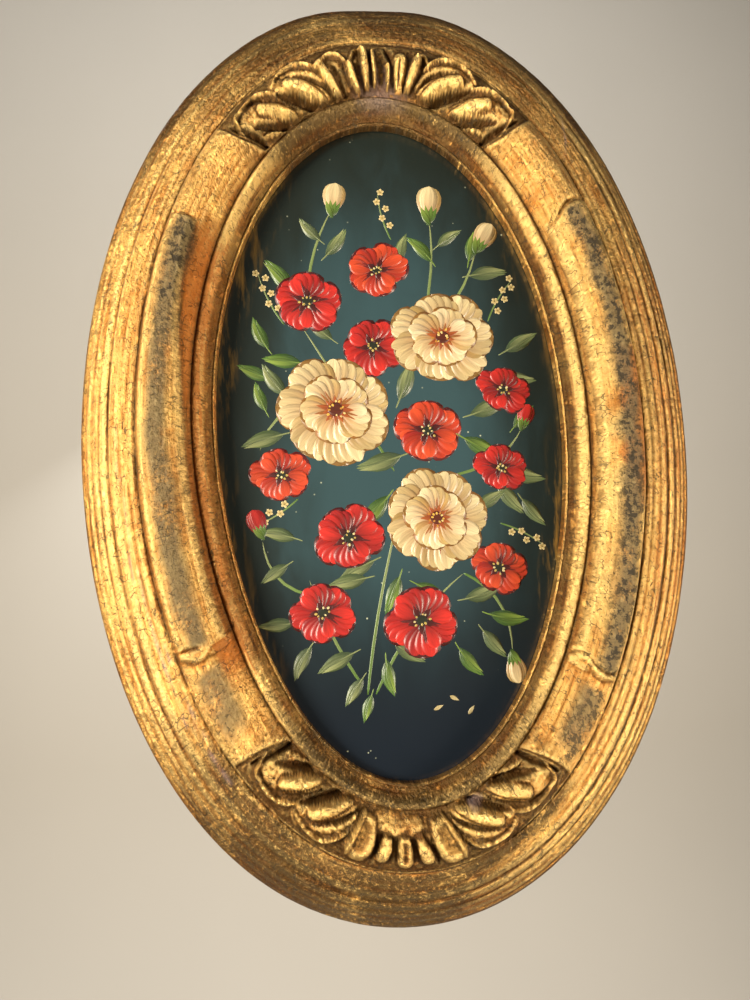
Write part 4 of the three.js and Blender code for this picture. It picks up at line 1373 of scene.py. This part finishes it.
@dataclass(frozen=True)
class SlottedScrew:
    """One of the hanger's countersunk screws, with the driver's slot cut into its head."""

    side: str
    turn: float  # where the driver left the slot, in radians
    slot_width: float = 0.6
    slot_depth: float = 0.45
    slot_length: float = 4.0

    def build(self, node: bpy.types.Object, finish: bpy.types.Material) -> bpy.types.Object:
        """Copy the construction's screw and cut its slot.

        Args:
            node: The construction's screw.
            finish: Its metal.

        Returns:
            The screw, flush with the strip.
        """
        piece = bpy.data.objects.new(f"slotted_screw_{self.side}", node.data.copy())
        piece.data.transform(node.matrix_world)
        piece.data.materials[0] = finish
        bpy.context.scene.collection.objects.link(piece)
        low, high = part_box(node.name)
        margin = 1.0
        cut_box(piece, "screw_slot", (self.slot_length, self.slot_depth + margin, self.slot_width),
                ((low[0] + high[0]) / 2 / MM, high[1] / MM + (margin - self.slot_depth) / 2,
                 (low[2] + high[2]) / 2 / MM), self.turn)
        return piece


def pigment(colour: str) -> Array:
    """Turn an sRGB hex colour into a linear colour to blend."""
    return np.array(linear(colour))


class Brush(Enum):
    """How a stroke widens and narrows from its root to its tip."""

    PETAL = "petal"
    LEAF = "leaf"
    LINE = "line"
    TOUCH = "touch"

    def width(self, share: Array) -> Array:
        """Half width at a share of the stroke's length, 1 at its widest."""
        share = np.clip(share, 0, 1)
        if self is Brush.PETAL:
            return np.sin(math.pi * share ** 1.7) ** 0.5 * 0.9 + 0.1 * (1 - share ** 6)
        if self is Brush.LEAF:
            return np.sin(math.pi * share ** 0.8) ** 1.1
        if self is Brush.LINE:
            return 0.35 * (1 - share ** 4) + 0.65 * np.sin(math.pi * share ** 0.6) ** 0.5
        return np.sin(math.pi * share) ** 0.5


@dataclass(frozen=True)
class Tint:
    """Colours of one kind of petal or leaf: around it, at its root, on its shaded side, on its lit side."""

    shadow: str
    root: str
    shade: str
    light: str

    def between(self, share: float) -> Array:
        """Colour between the shaded side at 0 and the lit side at 1."""
        return (1 - share) * pigment(self.shade) + share * pigment(self.light)


CREAM = Tint("8A6B38", "96521F", "B09A62", "F7EFCF")
PALE_CREAM = Tint("8C6A34", "A8622A", "C4AE72", "FBF5DC")
SCARLET = Tint("4A0A10", "5E0A10", "96121A", "DE3029")
ORANGE_RED = Tint("560C10", "6E1210", "B0261A", "E4552E")
SAGE = Tint("26362A", "3C5238", "5C7550", "A9B888")
GREEN = Tint("1E3018", "2F5222", "4C7A32", "94B454")


@dataclass(frozen=True)
class Bloom:
    """Where a flower or leaf stands, and how far it is turned away from the viewer."""

    centre: Point
    tilt: float = 1.0  # its width across the tilt, as a share
    tilt_heading: float = 0.0

    def at(self, heading: float, distance: float) -> Array:
        """Place at a heading and a distance from its centre."""
        place = distance * np.array([math.cos(heading), math.sin(heading)])
        way = np.array([math.cos(self.tilt_heading), math.sin(self.tilt_heading)])
        return np.array(self.centre) + place - (1 - self.tilt) * (place @ way) * way


@dataclass
class Painting:
    """A generic spray of garden roses and poppies, laid stroke by stroke over the painted ground."""

    centre_z: float = -103.0
    front: float = 5.5
    layer: float = 0.0012  # height between one stroke and the next that crosses it
    swell: float = 0.001
    skirt: float = 0.05  # how far a stroke's edge reaches into the ground
    rng: random.Random = field(default_factory=lambda: random.Random(41))
    places: list[Array] = field(default_factory=list)
    colours: list[Array] = field(default_factory=list)
    uvs: list[Array] = field(default_factory=list)
    reaches: list[tuple[float, float, float, int]] = field(default_factory=list)

    def template(self) -> None:
        """Model one brush stroke: a grid whose edge turns down into the ground."""
        select_only()
        bpy.ops.mesh.primitive_grid_add(x_subdivisions=9, y_subdivisions=4, size=2)
        stroke = named_piece("brush_stroke")
        edit(stroke,
             lambda: bpy.ops.mesh.region_to_loop(),
             lambda: bpy.ops.mesh.extrude_edges_move(TRANSFORM_OT_translate={"value": (0, 0, -1)}))
        points = np.empty(len(stroke.data.vertices) * 3)
        stroke.data.vertices.foreach_get("co", points)
        points = points.reshape(-1, 3)
        self.share = 0.5 - 0.5 * np.cos(math.pi * (points[:, 0] + 1) / 2)
        self.across = points[:, 1]
        self.down = points[:, 2] < -0.5
        self.faces = [tuple(face.vertices) for face in stroke.data.polygons]
        bpy.data.objects.remove(stroke)

    def level_of(self, flat: Array) -> int:
        """How many strokes lie under a new one, counting those whose surroundings it touches."""
        centre = flat.mean(0)
        radius = float(np.linalg.norm(flat - centre, axis=1).max())
        level = 1
        if self.reaches:
            earlier = np.array(self.reaches)
            touching = np.hypot(earlier[:, 0] - centre[0], earlier[:, 1] - centre[1]) < (
                0.8 * (earlier[:, 2] + radius))
            if touching.any():
                level = int(earlier[touching, 3].max()) + 1
        self.reaches.append((float(centre[0]), float(centre[1]), radius, level))
        return level

    def stroke(self, brush: Brush, points: tuple[Array, Array, Array], half_width: float,
               root: Array, tip: Array, notch: float = 0.0, fade: float = 1.0) -> None:
        """Lay one stroke along a curve.

        Args:
            brush: How its width runs.
            points: Its root, the curve's middle control point and its tip, in millimetres from the
                painting's middle.
            half_width: Half its greatest width.
            root: Colour at the root.
            tip: Colour at the tip.
            notch: How far the middle of the tip is drawn in, as a share of the length.
            fade: Above 1 the root's colour reaches further.
        """
        share = self.share * (1 - notch * peak(self.across, 0, 0.35) * self.share ** 3)
        spine = sum(np.outer(weight, point) for weight, point in zip(
            ((1 - share) ** 2, 2 * share * (1 - share), share ** 2), points))
        slope = np.outer(1 - share, points[1] - points[0]) + np.outer(share, points[2] - points[1])
        slope /= np.maximum(np.linalg.norm(slope, axis=1, keepdims=True), 1e-9)
        normal = np.stack([-slope[:, 1], slope[:, 0]], axis=-1)
        flat = spine + normal * (self.across * half_width * brush.width(self.share))[:, None]
        proud = self.layer * self.level_of(flat)
        proud = proud + self.swell * (1 - self.across ** 2) * np.sin(math.pi * self.share)
        height = np.where(self.down, -self.skirt, proud)
        self.places.append(np.stack([flat[:, 0], -(self.front + height),
                                     self.centre_z + flat[:, 1]], axis=-1))
        blend = (self.share ** fade)[:, None]
        colour = (1 - blend) * root + blend * tip
        bristle = {value: self.rng.uniform(0.86, 1.12) for value in sorted(set(np.round(self.across, 3)))}
        streak = np.array([bristle[value] for value in np.round(self.across, 3)])
        colour[:, :3] *= streak[:, None]
        self.colours.append(colour)
        offset = self.rng.uniform(0, 50)
        self.uvs.append(np.stack([self.share + offset, (self.across + 1) / 2 + offset], axis=-1))

    def spoke(self, brush: Brush, bloom: Bloom, heading: float, reach: Point, half_width: float,
              root: Array, tip: Array, lean: float = 0.0, **more: float) -> None:
        """Lay a stroke outwards from a flower's centre.

        Args:
            brush: How its width runs.
            bloom: The flower that it belongs to.
            heading: Direction, in radians.
            reach: Distances of its root and tip from the centre.
            half_width: Half its greatest width.
            root: Colour at the root.
            tip: Colour at the tip.
            lean: How far its middle stands aside.
            more: What stroke takes as well.
        """
        start, end = bloom.at(heading, reach[0]), bloom.at(heading, reach[1])
        way = (end - start) / max(float(np.linalg.norm(end - start)), 1e-9)
        middle = (start + end) / 2 + lean * np.array([-way[1], way[0]])
        squash = 1 - (1 - bloom.tilt) * abs(math.sin(heading - bloom.tilt_heading))
        self.stroke(brush, (start, middle, end), half_width * squash, root, tip, **more)

    def petal(self, bloom: Bloom, heading: float, reach: Point, half_width: float, tint: Tint,
              strokes: int) -> None:
        """Paint one petal: a dark shape, and over it a fan of strokes from its shaded to its lit side.

        Args:
            bloom: The flower that it belongs to.
            heading: Direction, in radians.
            reach: Distances of its root and tip from the centre.
            half_width: Half its greatest width.
            tint: Its colours.
            strokes: How many strokes the fan has.
        """
        jitter = self.rng.uniform
        root, shadow = pigment(tint.root), pigment(tint.shadow)
        length = reach[1] - reach[0]
        self.spoke(Brush.PETAL, bloom, heading, reach, half_width * 1.02,
                   root, shadow, notch=0.08)
        spread = math.atan2(half_width * 0.72, length * 0.78)
        for index in range(strokes):
            lean = 2 * index / (strokes - 1) - 1
            light = 0.55 + 0.38 * lean + jitter(-0.14, 0.14)
            dip = 0.94 + 0.06 * abs(lean) ** 0.7 - 0.17 * lean ** 4
            tip = tint.between(min(1, max(0, light)))
            self.spoke(Brush.PETAL, bloom, heading + spread * lean + jitter(-0.02, 0.02),
                       (reach[0] + 0.06 * length, reach[0] + length * dip * jitter(0.96, 1.02)),
                       half_width * 2.3 / strokes, root, tip, lean=0.1 * half_width * lean,
                       fade=jitter(0.5, 0.8))
        for _ in range(2):
            lean = jitter(-0.6, 0.6)
            self.spoke(Brush.LINE, bloom, heading + spread * lean,
                       (reach[0], reach[0] + length * jitter(0.35, 0.6)), half_width * 0.07,
                       shadow, root)

    def rose(self, centre: Point, radius: float, turn: float, tilt: float, tint: Tint = CREAM) -> None:
        """Paint a double garden rose in creams."""
        jitter = self.rng.uniform
        bloom = Bloom(centre, tilt, turn + 0.6)
        for petal in range(7):
            heading = turn + petal * math.tau / 7 + jitter(-0.07, 0.07)
            self.petal(bloom, heading, (0.2 * radius, radius * jitter(0.93, 1.06)), 0.4 * radius,
                       tint, 6)
        for petal in range(5):
            heading = turn + 0.4 + petal * math.tau / 5 + jitter(-0.1, 0.1)
            self.petal(bloom, heading, (0.08 * radius, radius * jitter(0.6, 0.68)), 0.32 * radius,
                       PALE_CREAM, 5)
        heart = pigment("7A2A14")
        for touch in range(12):
            heading = turn + touch * math.tau / 12 + jitter(-0.15, 0.15)
            self.spoke(Brush.LEAF, bloom, heading, (0.0, radius * jitter(0.2, 0.34)), 0.05 * radius,
                       heart, pigment("B5652E"))
        self.eye(bloom, 0.13 * radius, "5C2410", ["E3BE5A", "C08A34", "EBD898"], 12)

    def poppy(self, centre: Point, radius: float, turn: float, tilt: float, tint: Tint = SCARLET) -> None:
        """Paint a red poppy with ruffled petals."""
        jitter = self.rng.uniform
        bloom = Bloom(centre, tilt, turn + 0.9)
        for petal in (0, 2, 4, 1, 3):
            heading = turn + petal * math.tau / 5 + jitter(-0.1, 0.1)
            self.petal(bloom, heading, (0.1 * radius, radius * jitter(0.9, 1.06)), 0.5 * radius, tint, 5)
        black = pigment("1A0606")
        for petal in range(5):
            heading = turn + petal * math.tau / 5
            self.spoke(Brush.LEAF, bloom, heading, (0.08 * radius, 0.4 * radius), 0.1 * radius,
                       black, pigment("5C0A0E"))
        self.eye(bloom, 0.15 * radius, "20281A", ["E6DDB0", "C9B56A"], 8)

    def eye(self, bloom: Bloom, radius: float, ground: str, colours: list[str], count: int) -> None:
        """Dab a flower's centre: a dark round and a ring of small touches."""
        dark = pigment(ground)
        self.spoke(Brush.TOUCH, bloom, 0.0, (-radius, radius), radius, dark, dark)
        for touch in range(count):
            heading = touch * math.tau / count + self.rng.uniform(-0.2, 0.2)
            place = bloom.at(heading, radius * self.rng.uniform(0.6, 1.5))
            size = self.rng.uniform(0.26, 0.4)
            colour = pigment(self.rng.choice(colours))
            self.spoke(Brush.TOUCH, Bloom(tuple(place)), heading, (-size, size), size * 0.8,
                       colour, colour)

    def bud(self, centre: Point, length: float, heading: float, tint: Tint = CREAM) -> None:
        """Paint a closed bud with green sepals."""
        bloom = Bloom(centre)
        for lean, light in ((-0.8, 0.1), (0.8, 0.5), (-0.3, 0.45), (0.35, 0.9), (0.0, 0.75)):
            self.spoke(Brush.PETAL, bloom, heading + 0.16 * lean, (0, length * (1 - 0.06 * abs(lean))),
                       0.2 * length, pigment(tint.root), tint.between(light),
                       lean=lean * 0.2 * length, fade=0.5)
        for lean in (-1.0, -0.35, 0.4, 1.0):
            self.spoke(Brush.LEAF, bloom, heading + 0.5 * lean, (-0.14 * length, 0.46 * length),
                       0.09 * length, pigment(GREEN.root), GREEN.between(0.5 + 0.3 * lean),
                       lean=0.06 * length * lean)

    def leaf(self, root: Point, heading: float, length: float, tint: Tint) -> None:
        """Paint a leaf: a dark body, strokes from its shaded to its lit half, and a midrib."""
        jitter = self.rng.uniform
        bloom = Bloom(root)
        bow = length * jitter(-0.14, 0.14)
        base = pigment(tint.root)
        self.spoke(Brush.LEAF, bloom, heading, (0, length), 0.19 * length, base, tint.between(0.05),
                   lean=bow)
        for lean, light in ((-0.7, 0.3), (0.1, 0.5), (0.75, 0.95)):
            self.spoke(Brush.LEAF, bloom, heading + 0.07 * lean, (0.06 * length, length * jitter(0.88, 0.98)),
                       0.075 * length, base, tint.between(light), lean=bow + 0.1 * length * lean)
        self.spoke(Brush.LINE, bloom, heading, (-0.2 * length, 0.85 * length), 0.018 * length,
                   tint.between(0.6), base, lean=bow * 0.9)

    def stem(self, start: Point, bend: Point, end: Point, half_width: float = 0.38) -> None:
        """Paint a thin stem."""
        points = tuple(np.array(point) for point in (start, bend, end))
        self.stroke(Brush.LINE, points, half_width, GREEN.between(0.1), SAGE.between(0.7))

    def sprig(self, root: Point, heading: float, length: float, blossoms: int) -> None:
        """Paint a spray of tiny pale blossoms on a fine stem."""
        bloom = Bloom(root)
        tip = bloom.at(heading, length)
        self.stem(root, tuple(bloom.at(heading + 0.2, length / 2)), tuple(tip), 0.22)
        cream, ochre = pigment("B5A262"), pigment("EFE4BC")
        for index in range(blossoms):
            share = 0.3 + 0.7 * index / (blossoms - 1)
            aside = (0.16 if index % 2 else -0.16) * self.rng.uniform(0.6, 1.4) * (1.3 - share)
            small = Bloom(tuple(bloom.at(heading + aside, length * share)))
            for petal in range(5):
                self.spoke(Brush.TOUCH, small, petal * math.tau / 5 + index, (0.1, 0.95), 0.36, cream, ochre)

    def compose(self) -> None:
        """Lay the whole spray, from the stems at the back to the flowers in front."""
        for start, bend, end in (
                ((-9, -62), (-6, -40), (2, -14)), ((-7, -62), (2, -44), (16, -34)),
                ((-10, -60), (-18, -48), (-22, -34)), ((0, -8), (-10, 10), (-22, 30)),
                ((6, 20), (14, 42), (12, 58)), ((8, 24), (22, 38), (24, 50)),
                ((-14, 12), (-30, 10), (-33, -2)), ((12, -10), (28, -8), (33, 2)),
                ((-20, 34), (-20, 48), (-13, 60)),
                ((16, -34), (28, -40), (27, -54)), ((-20, -38), (-32, -36), (-33, -24))):
            self.stem(start, bend, end)
        leaves = (
            (-24, 38, 2.2, 11), (-15, 48, 0.9, 9), (-16, 52, 2.3, 8), (12, 46, 2.3, 9), (14, 50, 0.6, 8),
            (22, 42, 0.1, 10), (22, 46, 1.3, 9), (30, 22, 0.5, 10), (29, 16, -0.2, 9), (-30, 16, 2.7, 9),
            (-27, 2, 3.4, 11), (-24, -4, 3.9, 10), (-31, 8, 1.9, 8), (28, -8, -0.3, 11), (26, -12, -0.9, 10),
            (31, 2, 0.8, 8), (-25, -24, 2.9, 9), (-27, -30, 3.7, 8), (22, -44, -0.2, 10), (20, -48, -0.9, 9),
            (-2, -50, -0.6, 9), (-4, -54, -1.4, 9), (-12, -52, 3.6, 10), (-10, -58, 4.1, 8),
            (4, -36, -0.5, 9), (-6, -30, 3.6, 10), (20, -18, 0.5, 9), (-22, 20, 3.0, 10), (2, 42, 2.2, 9),
            (2, -4, 3.4, 12), (-2, -14, 3.9, 11), (2, 10, 1.2, 11), (20, 6, 0.4, 11), (18, 0, -0.5, 11),
            (-8, -34, 3.3, 10), (16, -40, 0.3, 10), (0, -34, 4.3, 10), (-14, 26, 2.4, 9), (-26, 12, 2.2, 10),
            (14, -52, -0.9, 9), (-26, -44, 3.2, 9), (-22, -50, 4.2, 9), (-30, 24, 2.0, 9), (32, -16, -0.9, 9),
            (4, 46, 1.3, 8), (-8, -62, -1.9, 7))
        for number, (x, z, heading, length) in enumerate(leaves):
            self.leaf((x, z), heading, length, SAGE if number % 3 else GREEN)
        for root, heading, length, blossoms in (
                ((-26, 30), 2.0, 15, 6), ((26, 30), 1.0, 13, 6), ((26, -22), -0.5, 12, 5),
                ((-24, -14), -2.6, 12, 5), ((2, 52), 1.8, 13, 5)):
            self.sprig(root, heading, length, blossoms)
        for centre, length, heading, tint in (
                ((12, 57), 9.5, 1.5, CREAM), ((24, 49), 8.5, 1.0, CREAM), ((-13, 59), 8.5, 1.4, CREAM),
                ((27, -54), 7.5, -1.4, CREAM), ((-33, -23), 7, 1.9, SCARLET), ((33, 2), 6.5, 1.2, SCARLET)):
            self.bud(centre, length, heading, tint)
        for centre, radius, turn, tilt, tint in (
                ((-20, 36), 9.2, 0.3, 0.9, SCARLET), ((-2, 44), 8.4, 1.2, 0.8, ORANGE_RED),
                ((29, 12), 7.6, 0.2, 0.75, SCARLET), ((-28, -8), 7.8, 0.6, 0.85, ORANGE_RED),
                ((-12, -24), 9.2, 1.1, 0.9, SCARLET), ((25, -33), 8.2, 0.1, 0.8, ORANGE_RED),
                ((-19, -42), 8.4, 0.7, 0.85, SCARLET), ((5, -45), 9.2, 0.9, 0.95, SCARLET),
                ((9, 2), 9.4, 0.4, 0.9, ORANGE_RED), ((-4, 24), 8.4, 0.8, 0.9, SCARLET),
                ((27, -8), 7.2, 0.4, 0.8, SCARLET)):
            self.poppy(centre, radius, turn, tilt, tint)
        for centre, radius, turn, tilt in (
                ((-14, 8), 15.0, 0.4, 0.92), ((14, 26), 14.0, 0.9, 0.86), ((10, -20), 13.5, 0.1, 0.9)):
            self.rose(centre, radius, turn, tilt)
        petal = Tint("2A3A34", "8A7A4A", "B8AC80", "D8D2B4")
        for x, z, heading in ((8, -66, 0.4), (12, -64, -0.5), (16, -67, 0.9)):
            self.spoke(Brush.LEAF, Bloom((x, z)), heading, (-1.3, 1.3), 0.5, petal.between(0.1),
                       petal.between(0.8))

    def build(self) -> bpy.types.Object:
        """Lay all the strokes and join them in one mesh."""
        self.template()
        self.compose()
        each = len(self.share)
        faces = [tuple(corner + each * index for corner in face)
                 for index in range(len(self.places)) for face in self.faces]
        mesh = bpy.data.meshes.new("painted_flowers")
        mesh.from_pydata(np.concatenate(self.places) * MM, [], faces)
        paint = mesh.color_attributes.new("paint", "FLOAT_COLOR", "POINT")
        paint.data.foreach_set("color", np.concatenate(self.colours).ravel())
        corners = np.empty(len(mesh.loops), dtype=np.int32)
        mesh.loops.foreach_get("vertex_index", corners)
        layer = mesh.uv_layers.new(name="stroke")
        layer.data.foreach_set("uv", np.concatenate(self.uvs)[corners].ravel())
        on_top = [not any(self.down[corner] for corner in face) for face in self.faces]
        mesh.polygons.foreach_set("use_smooth", on_top * len(self.places))
        mesh.materials.append(OilPaint().build())
        piece = bpy.data.objects.new("painted_flowers", mesh)
        bpy.context.scene.collection.objects.link(piece)
        edit(piece, lambda: bpy.ops.mesh.normals_make_consistent(inside=False))
        LOG.info("%d strokes in %d layers", len(self.places), max(reach[3] for reach in self.reaches))
        return piece


@dataclass
class Studio:
    """The camera, the soft lights and the pale backdrop."""

    camera_place: Triple = (-21.643, -189.205, -136.707)
    camera_tilt: Triple = (0.104914, -0.084771, -0.045520)  # up, aside, rolled
    focal_share: float = 0.75  # focal length as a share of the picture's height
    sensor: float = 36.0
    backdrop_distance: float = 620.0
    floor_drop: float = 620.0
    sweep_radius: float = 300.0
    half_width: float = 1400.0
    backdrop_top: float = 720.0  # low, so that the frame's upper rim mirrors the dim room above it

    def camera(self) -> None:
        """Set the camera where the photograph was taken from."""
        data = bpy.data.cameras.new("camera")
        data.sensor_width = self.sensor
        data.lens = self.focal_share * self.sensor
        data.clip_start, data.clip_end = 0.005, 20.0
        camera = bpy.data.objects.new("camera", data)
        up, aside, rolled = self.camera_tilt
        facing = Matrix.Rotation(math.pi / 2, 3, "X")
        turned = (Matrix.Rotation(rolled, 3, "Z") @ Matrix.Rotation(aside, 3, "Y")
                  @ Matrix.Rotation(up, 3, "X"))
        camera.matrix_world = (Matrix.Translation(Vector(self.camera_place) * MM)
                               @ (facing @ turned).to_4x4())
        bpy.context.scene.collection.objects.link(camera)
        bpy.context.scene.camera = camera

    def light(self, name: str, place: Triple, size: Point, power: float,
              colour: str, target: Triple = (0.0, 0.0, -103.0)) -> None:
        """Add one soft box.

        Args:
            name: Its name.
            place: Where it stands, in millimetres.
            size: Its width and height, in millimetres.
            power: Watts.
            colour: Its tint.
            target: What it is aimed at.
        """
        data = bpy.data.lights.new(name, "AREA")
        data.shape = "RECTANGLE"
        data.size, data.size_y = (length * MM for length in size)
        data.energy = power
        data.color = linear(colour)[:3]
        lamp = bpy.data.objects.new(name, data)
        lamp.location = Vector(place) * MM
        lamp.rotation_euler = (Vector(target) - Vector(place)).to_track_quat("-Z", "Y").to_euler()
        bpy.context.scene.collection.objects.link(lamp)

    def lights(self) -> None:
        """Light it from the left and from the lower right, over a dim surrounding."""
        self.light("window_left", (-450.0, -310.0, -70.0), (130.0, 260.0), 9.4, "FFF2DE")
        self.light("lamp_lower_right", (460.0, -230.0, -260.0), (120.0, 120.0), 4.6, "FFEFD8")
        self.light("fill_above", (200.0, -300.0, 520.0), (260.0, 160.0), 0.5, "EEF3FF")
        self.light("soft_box_behind", (-220.0, 480.0, 240.0), (300.0, 300.0), 5.0, "FFFFFF")
        self.light("backdrop_wash", (0.0, 120.0, 480.0), (900.0, 200.0), 2.4, "FFFFFF",
                   (0.0, 620.0, 380.0))
        world = bpy.data.worlds.new("studio")
        world.use_nodes = True
        background = world.node_tree.nodes["Background"]
        background.inputs["Color"].default_value = linear("B9B4AC")
        background.inputs["Strength"].default_value = 0.13
        bpy.context.scene.world = world

    def backdrop(self) -> bpy.types.Object:
        """Sweep a sheet of paper from the floor up behind the picture, far enough off to walk round it."""
        select_only()
        bpy.ops.mesh.primitive_plane_add(size=1)
        sheet = named_piece("studio_paper")
        turns = np.linspace(0, math.pi / 2, 17)
        floor_z, back_y, radius = -self.floor_drop, self.backdrop_distance, self.sweep_radius
        outline = [(-2200.0, floor_z)]
        outline += [(back_y - radius + radius * math.sin(turn), floor_z + radius - radius * math.cos(turn))
                    for turn in turns]
        outline += [(back_y, self.backdrop_top)]
        places = [(side * self.half_width * MM, y * MM, z * MM) for y, z in outline for side in (-1, 1)]
        faces = [(2 * i, 2 * i + 1, 2 * i + 3, 2 * i + 2) for i in range(len(outline) - 1)]
        sheet.data.clear_geometry()
        sheet.data.from_pydata(places, [], faces)
        sheet.data.polygons.foreach_set("use_smooth", [True] * len(faces))
        sheet.data.materials.append(StudioPaper().build())
        return sheet


def main() -> None:
    """Dress the construction, piece by piece."""
    logging.basicConfig(level=logging.INFO, format="%(name)s: %(message)s")
    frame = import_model()
    studio = Studio()
    studio.camera()
    studio.lights()
    studio.backdrop()
    bpy.context.scene.view_settings.view_transform = "Standard"

    gilded = GildedFrame()
    piece = gilded.build()
    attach(piece, "root")
    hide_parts("frame")
    LOG.info("%s: %d faces", piece.name, len(piece.data.polygons))

    ring = gilded.ring
    ground = VarnishedGround().build(ring.centre_z * MM, -ring.panel_front * MM)
    brass = OldMetal("tarnished_brass_plate", "98783E", "66502A", 0.38, 7.0).build()
    steel = OldMetal("drawn_steel_with_rust", "8D8A82", "6A3B1E", 0.36, 1.1).build()
    for name, node in frame["nodes"].items():
        if name == "painted_panel":
            node.data.materials[0] = ground
        elif name.startswith("hanger"):
            node.data.materials[0] = brass
        elif name.startswith("brad"):
            node.data.materials[0] = steel
        LOG.info("%s keeps its construction mesh", name)

    screw_brass = OldMetal("brass_screw_with_grime", "94733A", "4A3A1E", 0.4, 1.4).build()
    for screw in (SlottedScrew("left", 0.6), SlottedScrew("right", 1.9)):
        node = frame["nodes"][f"hanger_screw_{screw.side}"]
        slotted = screw.build(node, screw_brass)
        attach(slotted, "root")
        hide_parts(node.name)

    flowers = Painting(centre_z=ring.centre_z, front=ring.panel_front).build()
    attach(flowers, "root")
    LOG.info("%s: %d faces", flowers.name, len(flowers.data.polygons))


if __name__ == "__main__":
    main()
